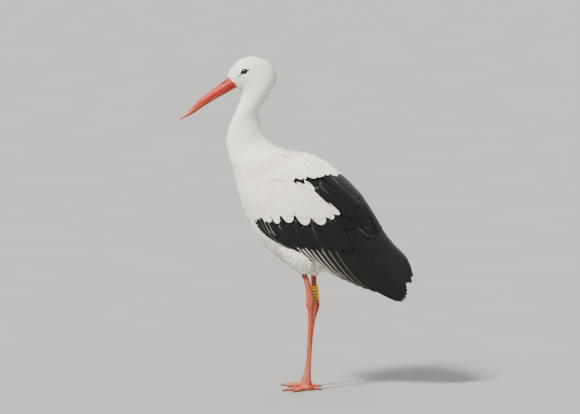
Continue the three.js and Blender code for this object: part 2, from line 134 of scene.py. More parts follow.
class Form:
    """A closed surface through stations, read by place along it and place round it.

    Place along runs from 0 to the last station. Place round runs from 0 at the leading edge
    (crown, back) by 0.25 on the left side to 0.5 at the trailing edge (throat, belly), evenly
    by length, so that a step round a section is the same everywhere on it.
    """

    ROWS_EACH = 24
    COLUMNS = 160
    DENSE = 640
    # chance in the places of roots, as shares of the gap in a row and of the gap between rows
    JITTER = (0.3, 0.45)

    def __init__(self, sections: Sequence[Station], centre_x: float = 0.0) -> None:
        """Works out the surface's nodes, paces and normals.

        Args:
            sections: the stations from one end to the other.
            centre_x: where the middle of the form lies across the bird.
        """
        self.last = len(sections) - 1
        self.centre_x = centre_x
        self.lead = Spline([s.lead for s in sections])
        self.trail = Spline([s.trail for s in sections])
        self.size = Spline([(s.half, s.square) for s in sections])
        # a curve's pace depends on every field it carries, so the two fields stay one curve
        self.rows = self.last * self.ROWS_EACH + 1
        along = np.linspace(0, self.last, self.rows)
        turn = np.linspace(0, 2 * math.pi, self.DENSE + 1)
        dense = self._section(along[:, None], turn[None, :])
        step = np.linalg.norm(np.diff(dense, axis=1), axis=2)
        reach = np.concatenate([np.zeros((self.rows, 1)), np.cumsum(step, axis=1)], axis=1)
        self.girth = reach[:, -1]
        even = np.linspace(0, 1, self.COLUMNS, endpoint=False)
        self.place = np.empty((self.rows, self.COLUMNS, 3))
        for row in range(self.rows):
            for axis in range(3):
                where = reach[row] / reach[row, -1]
                self.place[row, :, axis] = np.interp(even, where, dense[row, :, axis])
        self.pace_along = np.gradient(self.place, along, axis=0)
        ahead, behind = np.roll(self.place, -1, axis=1), np.roll(self.place, 1, axis=1)
        self.pace_round = (ahead - behind) * (self.COLUMNS / 2)
        normal = np.cross(self.pace_round, self.pace_along)
        normal /= np.linalg.norm(normal, axis=2, keepdims=True) + 1e-9
        middle = self.place.mean(axis=1, keepdims=True)
        if ((self.place - middle) * normal).sum() < 0:
            normal = -normal
        self.normal = normal

    def _section(self, along: Array, turn: Array) -> Array:
        """Points of the sections, before they are spaced evenly."""
        lead, trail, size = (curve.at(along) for curve in (self.lead, self.trail, self.size))
        axis = lead - trail
        depth = np.linalg.norm(axis, axis=-1, keepdims=True) / 2
        unit = axis / (2 * depth)
        half, square = size[..., :1], size[..., 1:2]
        power = 2 / square
        cosine, sine = np.cos(turn)[..., None], np.sin(turn)[..., None]
        out = np.sign(sine) * np.abs(sine) ** power * half
        up = np.sign(cosine) * np.abs(cosine) ** power * depth
        flat = (lead + trail) / 2 + unit * up
        return np.concatenate([self.centre_x + out, flat], axis=-1)

    def _read(self, table: Array, along: Array, around: Array) -> Array:
        """A table's values between its nodes, by straight lines."""
        row = np.clip(along / self.last, 0, 1) * (self.rows - 1)
        column = (around % 1.0) * self.COLUMNS
        r0 = np.minimum(row.astype(int), self.rows - 2)
        c0 = column.astype(int) % self.COLUMNS
        c1 = (c0 + 1) % self.COLUMNS
        fr, fc = (row - r0)[..., None], (column - np.floor(column))[..., None]
        low = table[r0, c0] * (1 - fc) + table[r0, c1] * fc
        high = table[r0 + 1, c0] * (1 - fc) + table[r0 + 1, c1] * fc
        return low * (1 - fr) + high * fr

    def point(self, along: Array, around: Array, height: Array | float = 0.0) -> Array:
        """Points at a height over the surface."""
        found = self._read(self.place, along, around)
        return found + self.outward(along, around) * np.asarray(height)[..., None]

    def outward(self, along: Array, around: Array) -> Array:
        """Unit normals, pointing out."""
        found = self._read(self.normal, along, around)
        return found / (np.linalg.norm(found, axis=-1, keepdims=True) + 1e-9)

    def lie(self, sway: Array | float = 0.0) -> Lie:
        """A lie that runs the way the place along grows.

        Args:
            sway: how far each feather turns aside from it.

        Returns:
            The lie.
        """

        def ahead(along: Array, around: Array, _point: Array) -> Array:
            way = self._read(self.pace_along, along, around)
            way = way / (np.linalg.norm(way, axis=1, keepdims=True) + 1e-9)
            return way + sway * np.cross(self.outward(along, around), way)

        return ahead

    def step(self, along: Array, around: Array, move: Array) -> tuple[Array, Array]:
        """The change of place that makes a small move in space.

        Args:
            along: places along the form.
            around: places round it.
            move: moves in space, in millimetres; only the part along the surface counts.

        Returns:
            The changes of the place along and of the place round.
        """
        pu, pa = self._read(self.pace_along, along, around), self._read(self.pace_round, along, around)
        e, f, g = (pu * pu).sum(-1), (pu * pa).sum(-1), (pa * pa).sum(-1)
        mu, ma = (pu * move).sum(-1), (pa * move).sum(-1)
        spread = np.maximum(e * g - f * f, 1e-6 * e * g + 1e-9)
        return (g * mu - f * ma) / spread, (e * ma - f * mu) / spread

    def locate(self, y: Array, z: Array, side: Side) -> tuple[Array, Array]:
        """The places whose side view is nearest to given points.

        Args:
            y: distances along the bird.
            z: heights.
            side: the side that is looked at.

        Returns:
            The places along and round.
        """
        half = self.COLUMNS // 2 + 1
        table = self.place[:, :half, 1:].reshape(-1, 2)
        wanted = np.stack([np.ravel(y), np.ravel(z)], axis=1)
        near = np.array([np.argmin(((table - w) ** 2).sum(axis=1)) for w in wanted])
        along = (near // half) / (self.rows - 1) * self.last
        around = (near % half) / self.COLUMNS
        # a few short steps on the left half bring the nearest node's place to the wanted point
        for _round in range(4):
            off = wanted - self.point(along, around)[:, 1:]
            move = np.concatenate([np.zeros((len(off), 1)), off], axis=1)
            du, da = self.step(along, around, move)
            along = np.clip(along + np.clip(du, -0.1, 0.1), 0, self.last)
            around = np.clip(around + np.clip(da, -0.02, 0.02), 0.004, 0.496)
        if side is Side.RIGHT:
            around = (1 - around) % 1.0
        return along.reshape(np.shape(y)), around.reshape(np.shape(y))

    def scatter(self, rng: np.random.Generator, pitch: float, spacing: float,
                first: float, last: float) -> tuple[Array, Array]:
        """Roots in staggered rows, thinned where the rows crowd together.

        Args:
            rng: the seeded source of chance.
            pitch: distance between rows, in millimetres.
            spacing: distance between roots in a row.
            first: place along where the rows begin.
            last: place along where they end.

        Returns:
            The places along and round of the roots.
        """
        pace = np.linalg.norm(self.pace_along, axis=2)
        columns = np.arange(self.COLUMNS + 1) / self.COLUMNS
        in_row, between = self.JITTER
        found_u, found_a = [], []
        u, shift = first, 0.0
        while u < last:
            row = int(round(u / self.last * (self.rows - 1)))
            step = pitch / pace[row].max()
            count = max(3, int(self.girth[row] / spacing))
            a = (np.arange(count) + shift + rng.uniform(-in_row, in_row, count)) / count % 1.0
            share = np.interp(a, columns, np.append(pace[row], pace[row][0])) / pace[row].max()
            keep = rng.random(count) < share
            found_a.append(a[keep])
            moved = u + rng.uniform(-between, between, keep.sum()) * step
            found_u.append(np.clip(moved, 0, self.last))
            u, shift = u + step, 0.5 - shift
        return np.concatenate(found_u), np.concatenate(found_a)


# ---- Meshes ----


def add_object(name: str, data: bpy.types.ID) -> bpy.types.Object:
    """Adds an object to the scene for a mesh, a lamp, a camera or a text."""
    made = bpy.data.objects.new(name, data)
    bpy.context.scene.collection.objects.link(made)
    return made


def places_of(shape: bmesh.types.BMesh) -> Array:
    """The places of a bmesh's vertices, one row for each."""
    return np.array([v.co[:] for v in shape.verts])


def move_to(shape: bmesh.types.BMesh, places: Array) -> bmesh.types.BMesh:
    """Moves a bmesh's vertices to given places, one row for each."""
    for vert, place in zip(shape.verts, places):
        vert.co = place
    return shape


def vectors_of(mesh: bpy.types.Mesh, kind: str) -> Array:
    """The places ("co") or normals ("normal") of a mesh's vertices, one row for each."""
    found = np.empty(len(mesh.vertices) * 3, np.float32)
    mesh.vertices.foreach_get(kind, found)
    return found.reshape(-1, 3)


def write_values(mesh: bpy.types.Mesh, name: str, values: Array) -> None:
    """Writes a number at each vertex of a mesh, for its finish to read."""
    layer = mesh.attributes.new(name, "FLOAT", "POINT")
    layer.data.foreach_set("value", values.astype(np.float32))


def as_piece(name: str, mesh: bpy.types.Mesh, material: bpy.types.Material,
             replaced: Sequence[str] = ()) -> bpy.types.Object:
    """Makes a mesh a piece of the bird.

    Args:
        name: the piece's name.
        mesh: its mesh, in metres and in place.
        material: its finish.
        replaced: the CAD nodes that the piece stands for.

    Returns:
        The new object.
    """
    piece = add_object(name, mesh)
    mesh.materials.append(material)
    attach(piece, "root")
    if replaced:
        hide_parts(*replaced)
    LOG.info("%s: %d faces", name, len(mesh.polygons))
    return piece


def finish_mesh(shape: bmesh.types.BMesh, name: str, smooth: bool = True) -> bpy.types.Mesh:
    """Turns a bmesh in millimetres into a mesh in metres, faces pointing out.

    Args:
        shape: the bmesh, which is freed.
        name: the mesh's name.
        smooth: whether its faces are shaded smoothly.

    Returns:
        The mesh.
    """
    bmesh.ops.recalc_face_normals(shape, faces=shape.faces)
    bmesh.ops.scale(shape, vec=(MM, MM, MM), verts=shape.verts)
    mesh = bpy.data.meshes.new(name)
    shape.to_mesh(mesh)
    shape.free()
    mesh.polygons.foreach_set("use_smooth", [smooth] * len(mesh.polygons))
    return mesh


def tube(form: Form, first: float, last: float, rings: int, segments: int,
         height: Callable[[Array, Array], Array] | float = 0.0) -> bmesh.types.BMesh:
    """A closed skin over a length of a form, with a cap at each end.

    Args:
        form: the form that it follows.
        first: place along where it begins.
        last: place along where it ends.
        rings: lengths between its rings.
        segments: faces round it.
        height: how far it lies over the form, as a number or by place.

    Returns:
        The skin in millimetres.
    """
    shape = bmesh.new()
    bmesh.ops.create_grid(shape, x_segments=segments, y_segments=rings, size=0.5)
    grid = places_of(shape)
    along, around = first + (last - first) * (grid[:, 1] + 0.5), grid[:, 0] + 0.5
    lift = height(along, around) if callable(height) else np.full(len(along), float(height))
    move_to(shape, form.point(along, around, lift))
    bmesh.ops.remove_doubles(shape, verts=shape.verts, dist=1e-3)
    bmesh.ops.holes_fill(shape, edges=[e for e in shape.edges if e.is_boundary], sides=segments + 2)
    caps = [f for f in shape.faces if len(f.verts) > 4]
    bmesh.ops.poke(shape, faces=caps)
    return shape


def merge(shapes: Sequence[bmesh.types.BMesh]) -> bmesh.types.BMesh:
    """Puts shapes side by side into one bmesh, and frees them."""
    whole = bmesh.new()
    for shape in shapes:
        part = bpy.data.meshes.new("part")
        shape.to_mesh(part)
        shape.free()
        whole.from_mesh(part)
        bpy.data.meshes.remove(part)
    return whole


def fuse(shapes: Sequence[bmesh.types.BMesh], name: str, voxel: float, smooth: int) -> bpy.types.Mesh:
    """Melts overlapping closed shapes into one skin without seams.

    Args:
        shapes: the shapes in millimetres, which are freed.
        name: the mesh's name.
        voxel: the fineness of the skin, in millimetres.
        smooth: rounds of smoothing.

    Returns:
        The skin's mesh in metres.
    """
    mesh = finish_mesh(merge(shapes), name + "_rough")
    rough = add_object(mesh.name, mesh)
    remesh = rough.modifiers.new("Melt", "REMESH")
    remesh.mode = "VOXEL"
    remesh.voxel_size = voxel * MM
    remesh.use_smooth_shade = True
    ease = rough.modifiers.new("Ease", "SMOOTH")
    ease.iterations = smooth
    ease.factor = 0.5
    graph = bpy.context.evaluated_depsgraph_get()
    made = bpy.data.meshes.new_from_object(rough.evaluated_get(graph))
    made.name = name
    bpy.data.objects.remove(rough)
    bpy.data.meshes.remove(mesh)
    made.polygons.foreach_set("use_smooth", [True] * len(made.polygons))
    return made


# ---- Vanes ----


class Outline(Enum):
    """How wide a feather is from its root to its tip."""

    LANCE = "lance"
    ROUND = "round"
    BLUNT = "blunt"
    QUILL = "quill"

    def width(self, run: Array) -> Array:
        """The share of the full width at each run from 0, the root, to 1, the tip."""
        if self is Outline.LANCE:
            return np.minimum(1, 0.35 + 1.6 * run) * np.clip((1 - run) / 0.62, 0, 1) ** 0.8
        if self is Outline.ROUND:
            return np.minimum(1, 0.45 + 1.4 * run) * np.sqrt(np.clip(1 - (run / 1.001) ** 5, 0, 1))
        if self is Outline.BLUNT:
            return np.minimum(1, 0.5 + run) * np.sqrt(np.clip(1 - (run / 1.001) ** 14, 0, 1))
        return np.minimum(1, 0.4 + 2 * run) * np.clip((1.002 - run) / 0.3, 0, 1) ** 0.55


class Vane:
    """One feather's closed, thin body, drawn out of a flattened ball by its pole to pole run."""

    def __init__(self, steps: int, sides: int, outline: Outline, spread: float = 1.0) -> None:
        """Draws the feather's body.

        Args:
            steps: lengths between root and tip.
            sides: faces round the vane.
            outline: how its width runs.
            spread: more than 1 crowds the rings towards the tip, where the outline turns.
        """
        ball = bmesh.new()
        bmesh.ops.create_uvsphere(ball, u_segments=sides, v_segments=steps, radius=1.0)
        ball.verts.ensure_lookup_table()
        co = places_of(ball)
        polar = np.arccos(np.clip(co[:, 2], -1, 1)) / math.pi
        self.ring = np.rint(polar * steps).astype(int)
        self.runs = 1 - (1 - np.arange(steps + 1) / steps) ** spread
        self.run = self.runs[self.ring]
        belt = np.hypot(co[:, 0], co[:, 1])
        belt = np.where(belt < 1e-6, 1, belt)
        pole = (self.ring == 0) | (self.ring == steps)
        self.side = np.where(pole, 0, co[:, 0] / belt)
        self.across = self.side * outline.width(self.run)
        self.skin = np.where(pole, 0, co[:, 1] / belt)
        self.faces = [[v.index for v in f.verts] for f in ball.faces]
        ball.free()
        self.count = len(co)


@dataclass(frozen=True)
class Lay:
    """How feathers lie: heights over the form in millimetres, and how they bend and differ."""

    root: float = -3.0
    tip: float = 0.0
    thickness: float = 0.5
    camber: float = 0.06
    curl: float = 0.0
    roll: float = 0.0
    ragged: float = 0.15
    rise: float = 0.7


class Coat:
    """A piece of plumage: batches of feathers joined into one mesh, which may be mirrored."""

    # the furthest a feather goes in one step along and round a form, so that no line or edge
    # is thrown about where the form closes: down its middle line, and out to its edges
    ALONG_STEP = (1.2, 0.2)
    ACROSS_STEP = (0.8, 0.15)

    def __init__(self, name: str, vane: Vane, seed: int, soft: float = 0.0) -> None:
        """Starts with no feathers.

        Args:
            name: the piece's name.
            vane: the feather that every batch repeats.
            seed: the seed of the small differences between feathers.
            soft: how far the feathers take the shading of the body under them, as loose down does.
        """
        self.name = name
        self.vane = vane
        self.soft = soft
        self.swells: list[Array] = []
        self.rng = np.random.default_rng(seed)
        self.places: list[Array] = []
        self.bakes: list[Array] = []
        self.marks: list[Array] = []
        self.tones: list[Array] = []

    def trace(self, form: Form, along: Array, around: Array, length: Array,
              lie: Lie) -> Lines:
        """Runs feathers' middle lines over a form.

        Args:
            form: the form they lie on.
            along: places along of the roots.
            around: places round of the roots.
            length: the feathers' lengths.
            lie: the direction that they run in.

        Returns:
            The places along and round of each middle line's points, one row for a feather.
        """
        us, vs = [along], [around]
        most_u, most_a = self.ALONG_STEP
        for gap in np.diff(self.vane.runs):
            u, a = us[-1], vs[-1]
            wanted = lie(u, a, form.point(u, a))
            normal = form.outward(u, a)
            wanted = wanted - normal * (wanted * normal).sum(-1, keepdims=True)
            wanted /= np.linalg.norm(wanted, axis=-1, keepdims=True) + 1e-9
            du, da = form.step(u, a, wanted * (length * gap)[:, None])
            us.append(np.clip(u + np.clip(du, -most_u, most_u), 0, form.last))
            vs.append(a + np.clip(da, -most_a, most_a))
        return np.stack(us, axis=1), np.stack(vs, axis=1)

    def route(self, start: tuple[Array, Array], end: tuple[Array, Array],
              bow: Array | float = 0.0) -> Lines:
        """Middle lines from given roots to given tips, bowed sideways.

        Args:
            start: places along and round of the roots.
            end: places along and round of the tips.
            bow: how far the middle of the line is pushed round the form.

        Returns:
            The places along and round of each middle line's points.
        """
        run = self.vane.runs[None, :]
        turn = (np.asarray(end[1]) - np.asarray(start[1]) + 0.5) % 1.0 - 0.5
        u = start[0][:, None] + (end[0] - start[0])[:, None] * run
        bend = np.broadcast_to(bow, np.shape(start[0]))[:, None] * 4 * run * (1 - run)
        return u, start[1][:, None] + turn[:, None] * run + bend

    def grow(self, form: Form, lines: Lines, width: Array, lay: Lay,
             mark: Array | float = 0.0, tone: Array | None = None,
             lift: Array | float = 0.0) -> None:
        """Lays one batch of feathers over a form.

        Args:
            form: the form they lie on.
            lines: their middle lines, from trace or route.
            width: their full widths in millimetres.
            lay: how they lie.
            mark: how much of each feather's outer edge the dark finish paints pale: real silvering on the
                secondaries, a painted highlight on the scapulars and greater coverts.
            tone: each feather's tone from 0 to 1, or None for chance.
            lift: how far each feather lies over the others.
        """
        vane, rng = self.vane, self.rng
        us, vs = lines
        count = len(us)
        if count == 0:
            return
        width = np.broadcast_to(width, count)
        centre = form.point(us, vs)
        normal = form.outward(us, vs)
        tangent = np.gradient(centre, axis=1)
        tangent /= np.linalg.norm(tangent, axis=2, keepdims=True) + 1e-9
        cross = np.cross(tangent, normal)
        cross /= np.linalg.norm(cross, axis=2, keepdims=True) + 1e-9
        ring = vane.ring
        u, a, side = us[:, ring], vs[:, ring], cross[:, ring]
        reach = vane.across[None, :] * width[:, None] / 2
        du, da = form.step(u, a, side * reach[..., None])
        most_u, most_a = self.ACROSS_STEP
        u2 = np.clip(u + np.clip(du, -most_u, most_u), 0, form.last)
        a2 = a + np.clip(da, -most_a, most_a)
        run = vane.run[None, :]
        tip = lay.tip + rng.normal(0, lay.ragged, (count, 1)) + np.reshape(lift, (-1, 1))
        root = lay.root + np.reshape(lift, (-1, 1))
        height = root + (tip - root) * run**lay.rise
        height = height + lay.curl * np.clip(run - 0.6, 0, 1) ** 2 / 0.16
        height = height - lay.camber * width[:, None] * vane.across[None, :] ** 2
        lean = np.tan(lay.roll + rng.normal(0, 0.3 * lay.ragged, (count, 1)))
        height = height + reach * lean
        # thickest at the shaft and half way along, thin at the edges and at both ends
        plump = np.sqrt(np.clip(1 - (vane.side**2)[None, :], 0, 1)) * vane.skin[None, :]
        body = lay.thickness / 2 * (0.35 + 0.65 * np.sin(np.clip(run, 0.02, 0.98) * math.pi))
        place = form.point(u2, a2, height + plump * body)
        self.places.append(place.reshape(-1, 3))
        self.swells.append(form.outward(u2, a2).reshape(-1, 3))
        # each feather takes a small patch of the baking map at its root's place on the form
        spot = np.stack([
            np.clip(vs[:, :1] % 1.0 + vane.side[None, :] * 0.0015, 0, 1),
            np.clip(us[:, :1] / form.last + (run - 0.5) * 0.003, 0, 1),
        ], axis=-1)
        self.bakes.append(spot.reshape(-1, 2))
        self.marks.append(np.repeat(np.broadcast_to(mark, count), vane.count))
        tones = rng.random(count) if tone is None else np.broadcast_to(tone, count)
        self.tones.append(np.repeat(tones, vane.count))

    def mesh(self, name: str, flip: bool = False) -> bpy.types.Mesh:
        """The joined mesh of all feathers, with its two maps, marks and tones.

        Args:
            name: the mesh's name.
            flip: whether it is drawn for the other side of the bird.

        Returns:
            The mesh.
        """
        vane = self.vane
        turned = np.array([-1.0 if flip else 1.0, 1.0, 1.0])
        places = np.concatenate(self.places) * MM * turned
        count = len(places) // vane.count
        sizes = np.array([len(f) for f in vane.faces])
        corners = np.concatenate([np.array(f[::-1] if flip else f) for f in vane.faces])
        shifts = np.arange(count)[:, None] * vane.count
        loops = (corners[None, :] + shifts).ravel().astype(np.int32)
        starts = np.concatenate([[0], np.cumsum(np.tile(sizes, count))[:-1]]).astype(np.int32)
        mesh = bpy.data.meshes.new(name)
        mesh.vertices.add(len(places))
        mesh.vertices.foreach_set("co", places.astype(np.float32).ravel())
        mesh.loops.add(len(loops))
        mesh.loops.foreach_set("vertex_index", loops)
        mesh.polygons.add(len(starts))
        mesh.polygons.foreach_set("loop_start", starts)
        mesh.update(calc_edges=True)
        run = np.stack([vane.side * 0.5 + 0.5, vane.run], axis=1)
        strip = np.tile(run, (count, 1))
        bake = np.concatenate(self.bakes)
        bake[:, 0] = 1 - bake[:, 0] if flip else bake[:, 0]
        for title, spots in (("OFBake", bake), ("Vane", strip)):
            layer = mesh.uv_layers.new(name=title)
            layer.data.foreach_set("uv", spots[loops].astype(np.float32).ravel())
        for title, values in (("mark", self.marks), ("tone", self.tones)):
            write_values(mesh, title, np.concatenate(values))
        mesh.polygons.foreach_set("use_smooth", np.ones(len(starts), bool))
        mesh.validate()
        if self.soft > 0:
            swell = np.concatenate(self.swells) * turned
            blend = vectors_of(mesh, "normal") * (1 - self.soft) + swell * self.soft
            blend /= np.linalg.norm(blend, axis=1, keepdims=True) + 1e-9
            mesh.normals_split_custom_set_from_vertices(blend)
        return mesh


# ---- Finishes ----


def colour(code: str) -> tuple[float, float, float, float]:
    """The linear colour of an sRGB hex value such as "#D9503F"."""
    parts = [int(code[i : i + 2], 16) / 255 for i in (1, 3, 5)]
    line = [p / 12.92 if p <= 0.04045 else ((p + 0.055) / 1.055) ** 2.4 for p in parts]
    return (*line, 1.0)


class Recipe:
    """A material while it is put together out of nodes, each read by its wanted output."""

    def __init__(self, name: str) -> None:
        """Starts an empty material.

        Args:
            name: the material's name.
        """
        self.material = bpy.data.materials.new(name)
        self.material.use_nodes = True
        self.tree = self.material.node_tree
        self.tree.nodes.clear()
        self.place = self.add("TexCoord").outputs["Object"]

    def add(self, kind: str, inputs: dict | None = None, **settings: object) -> bpy.types.Node:
        """Adds a node.

        Args:
            kind: the node's type, after its "ShaderNode".
            inputs: its inputs by name or number, each a value or a socket to link.
            settings: its properties.

        Returns:
            The node.
        """
        made = self.tree.nodes.new(f"ShaderNode{kind}")
        for name, value in settings.items():
            setattr(made, name, value)
        for name, value in (inputs or {}).items():
            if isinstance(value, Socket):
                self.tree.links.new(value, made.inputs[name])
            else:
                made.inputs[name].default_value = value
        return made

    def noise(self, scale: float, detail: float, rough: float = 0.5, at: Socket | None = None) -> Socket:
        """Cloudy values from 0 to 1, over the piece's own place or over another vector."""
        vector = self.place if at is None else at
        return self.add("TexNoise", {
            "Vector": vector, "Scale": scale, "Detail": detail, "Roughness": rough,
        }).outputs["Fac"]

    def stretch(self, scale: tuple, drop: float = 0.0) -> Socket:
        """The piece's own place, turned about X by a drop in degrees and scaled on each axis."""
        return self.add("Mapping", {
            "Vector": self.place, "Rotation": (math.radians(drop), 0, 0), "Scale": scale,
        }).outputs["Vector"]

    def span(self, value: Socket, low: float, high: float, start: float = 0.0, end: float = 1.0) -> Socket:
        """A value carried from the range low to high into the range start to end."""
        return self.add("MapRange", {
            "Value": value, "From Min": low, "From Max": high, "To Min": start, "To Max": end,
        }).outputs["Result"]

    def maths(self, operation: str, *values: Socket | float) -> Socket:
        """The result of one sum."""
        return self.add("Math", dict(enumerate(values)), operation=operation).outputs[0]

    def ramp(self, value: Socket, *pairs: tuple[float, str]) -> Socket:
        """A colour read from (place, sRGB hex) pairs."""
        node = self.add("ValToRGB", {"Fac": value})
        elements = node.color_ramp.elements
        while len(elements) < len(pairs):
            elements.new(1.0)
        for element, (place, code) in zip(elements, pairs):
            element.position = place
            element.color = colour(code)
        return node.outputs["Color"]

    def mix(self, share: Socket | float, first: Socket, second: Socket | str, kind: str = "MIX") -> Socket:
        """One colour laid over another; the second may be an sRGB hex value."""
        over = colour(second) if isinstance(second, str) else second
        node = self.add("Mix", {"Factor": share, 6: first, 7: over}, data_type="RGBA", blend_type=kind)
        return node.outputs[2]

    def bump(self, height: Socket, strength: float, relief: float) -> Socket:
        """Normals of a fine relief, in metres."""
        return self.add("Bump", {
            "Height": height, "Strength": strength, "Distance": relief,
        }).outputs["Normal"]

    def read(self, name: str) -> Socket:
        """A value that the mesh carries."""
        return self.add("Attribute", attribute_name=name).outputs["Fac"]

    def vane(self) -> tuple[Socket, Socket]:
        """Place across a feather, 0.5 at its shaft, and place along it from root to tip."""
        spot = self.add("UVMap", uv_map="Vane").outputs["UV"]
        parts = self.add("SeparateXYZ", {0: spot}).outputs
        return parts["X"], parts["Y"]

    def close(self, tint: Socket, roughness: Socket | float, normal: Socket, ior: float,
              **more: float) -> bpy.types.Material:
        """Adds the shader and the output.

        Args:
            tint: the base colour.
            roughness: how matt it is.
            normal: its relief.
            ior: how strongly light bends in it.
            more: other inputs by name, with underlines for the spaces.

        Returns:
            The material.
        """
        inputs = {"Base Color": tint, "Roughness": roughness, "Normal": normal, "IOR": ior}
        inputs.update({name.replace("_", " "): value for name, value in more.items()})
        shader = self.add("BsdfPrincipled", inputs)
        self.add("OutputMaterial", {"Surface": shader.outputs[0]})
        return self.material


@dataclass(frozen=True)
class DownPlume:
    """Contour feathers of keratin without pigment: matt, soft, faintly creamy where they wear.

    Each feather carries painted shade at its root, where the next one overlaps it, and painted light at its
    exposed tip; light scatters inside the loose barbs, so the painted shade is kept warm and pale.
    """

    name: str = "contour_feather_white"
    shade: str = "#E9E4DA"
    body: str = "#F3F0E8"
    bright: str = "#FBFAF6"
    stain: str = "#E4D9C2"
    stain_share: float = 0.35
    roughness: float = 0.82
    sheen: float = 0.25
    barb: float = 0.9
    relief: float = 0.0006

    def make(self) -> bpy.types.Material:
        """Builds the material."""
        recipe = Recipe(self.name)
        # painted shade at each feather's root, where the next one overlaps it, running to painted light at
        # its exposed tip
        along = recipe.ramp(recipe.vane()[1], (0.15, self.shade), (0.75, self.body), (1.0, self.bright))
        each = recipe.ramp(recipe.read("tone"), (0.0, "#EFEBE2"), (0.5, "#F9F7F2"), (1.0, "#FFFFFF"))
        varied = recipe.mix(0.5, along, each, "MULTIPLY")
        worn = recipe.span(recipe.noise(14.0, 4.0, 0.6), 0.52, 0.78, 0.0, self.stain_share)
        tinted = recipe.mix(worn, varied, self.stain, "MULTIPLY")
        barbs = recipe.noise(1 / (self.barb * MM * 2), 2.0)
        return recipe.close(
            tinted, self.roughness, recipe.bump(barbs, 0.35, self.relief), 1.5,
            Sheen_Weight=self.sheen, Sheen_Roughness=0.6, Specular_IOR_Level=0.3,
        )


@dataclass(frozen=True)
class DarkPlume:
    """Flight feathers full of dark pigment: tight barbs that gloss along the vane, dull at worn rims.

    The upper wing's faint green shine is painted into the base colour as a painted sheen, the outer rims of
    the secondaries are silvery, and painted highlights run along the edges of some scapulars and greater
    coverts.
    """

    name: str
    deep: str = "#020303"
    body: str = "#050707"
    gloss: str = "#0A1010"
    rim: str = "#121110"
    silver_and_highlight: str = "#D6D2C8"
    roughness: float = 0.46
    barbs: float = 420.0
    slant: float = -0.35

    def make(self) -> bpy.types.Material:
        """Builds the material."""
        recipe = Recipe(self.name)
        across, along = recipe.vane()
        away = recipe.maths("ABSOLUTE", recipe.maths("SUBTRACT", across, 0.5))
        # barbs leave the shaft at a slant, so their phase grows away from it as well as along it
        phase = recipe.maths("MULTIPLY_ADD", away, self.slant, along)
        ripple = recipe.maths("SINE", recipe.maths("MULTIPLY", phase, self.barbs))
        streaks = recipe.noise(60.0, 5.0, 0.65)
        # each feather's tone picks its colour from deep black up to the gloss colour, a painted green sheen
        base = recipe.ramp(recipe.read("tone"), (0.0, self.deep), (0.5, self.body), (1.0, self.gloss))
        edged = recipe.mix(recipe.span(away, 0.38, 0.5, 0.0, 0.65), base, self.rim)
        # the outer edge turns pale where the feather's mark asks for it, broken by wear: real silvery webs
        # on the secondaries, painted highlights along the edges of the scapulars and greater coverts
        pale = recipe.maths("MULTIPLY", recipe.span(across, 0.8, 0.88), recipe.read("mark"))
        silver_and_highlight_share = recipe.maths("MULTIPLY", pale, recipe.span(streaks, 0.35, 0.6, 0.55))
        rough = recipe.span(streaks, 0.0, 1.0, self.roughness - 0.08, self.roughness + 0.14)
        return recipe.close(
            recipe.mix(silver_and_highlight_share, edged, self.silver_and_highlight), rough, recipe.bump(ripple, 0.22, 0.0003), 1.54,
            Specular_IOR_Level=0.25,
        )


@dataclass(frozen=True)
class BillHorn:
    """The bill's horn: waxy, red with pigment from food, paler and pinker where it wears at the tip.

    Fine growth lines run along it, and the cutting edges are yellowish.
    """

    name: str = "bill_horn_red"
    base: str = "#9E1A12"
    body: str = "#B0241A"
    tip: str = "#C77464"
    point: str = "#B8604F"
    bloom: str = "#CC6350"
    edge: str = "#C9A060"
    roughness: float = 0.5
    line: float = 1.6
    slope: float = -36.0

    def make(self) -> bpy.types.Material:
        """Builds the material."""
        recipe = Recipe(self.name)
        # growth lines run along the bill, which drops towards its tip
        lines = recipe.noise(1 / (self.line * MM), 4.0, 0.6, recipe.stretch((1.0, 0.08, 1.0), self.slope))
        along = recipe.ramp(
            recipe.read("run"),
            (0.0, self.base), (0.3, self.body), (0.74, self.body), (0.9, self.tip), (1.0, self.point),
        )
        grain = recipe.ramp(lines, (0.3, "#A68A80"), (0.5, "#DCCBC6"), (0.7, "#F2E8E4"))
        streaked = recipe.mix(0.75, along, grain, "MULTIPLY")
        worn = recipe.mix(recipe.span(recipe.noise(90.0, 4.0), 0.5, 0.75, 0.0, 0.25), streaked, self.bloom)
        return recipe.close(
            recipe.mix(recipe.read("rim"), worn, self.edge), self.roughness,
            recipe.bump(lines, 0.3, 0.0004), 1.54,
            Subsurface_Weight=0.08, Subsurface_Scale=0.004, Specular_IOR_Level=0.3,
        )


@dataclass(frozen=True)
class LegSkin:
    """Scaly salmon-red leg skin, smeared grey-brown by dust and by the bird's own droppings.

    Small many-sided scutes with dark seams between them; the smears run down the leg.
    """

    name: str = "leg_scutes_pink"
    body: str = "#B2361C"
    deep: str = "#6E190C"
    pale: str = "#C35A36"
    chalk: str = "#7F6C58"
    seam: str = "#6E3226"
    scute: float = 2.6
    roughness: float = 0.62

    def make(self) -> bpy.types.Material:
        """Builds the material."""
        recipe = Recipe(self.name)
        cells = recipe.add(
            "TexVoronoi", {"Vector": recipe.place, "Scale": 1 / (self.scute * MM)},
            feature="DISTANCE_TO_EDGE",
        ).outputs["Distance"]
        smear = recipe.noise(150.0, 6.0, 0.66, recipe.stretch((1.0, 1.0, 0.22)))
        speck = recipe.noise(420.0, 3.0)
        fleshy = recipe.ramp(speck, (0.3, self.deep), (0.5, self.body), (0.75, self.pale))
        chalked = recipe.mix(recipe.span(smear, 0.47, 0.64, 0.0, 0.82), fleshy, self.chalk)
        lined = recipe.mix(recipe.span(cells, 0.0, 0.12, 0.5, 0.0), chalked, self.seam)
        domed = recipe.span(cells, 0.0, 0.25)
        return recipe.close(
            lined, self.roughness, recipe.bump(domed, 0.4, 0.0004), 1.45,
            Subsurface_Weight=0.05, Subsurface_Scale=0.003,
        )


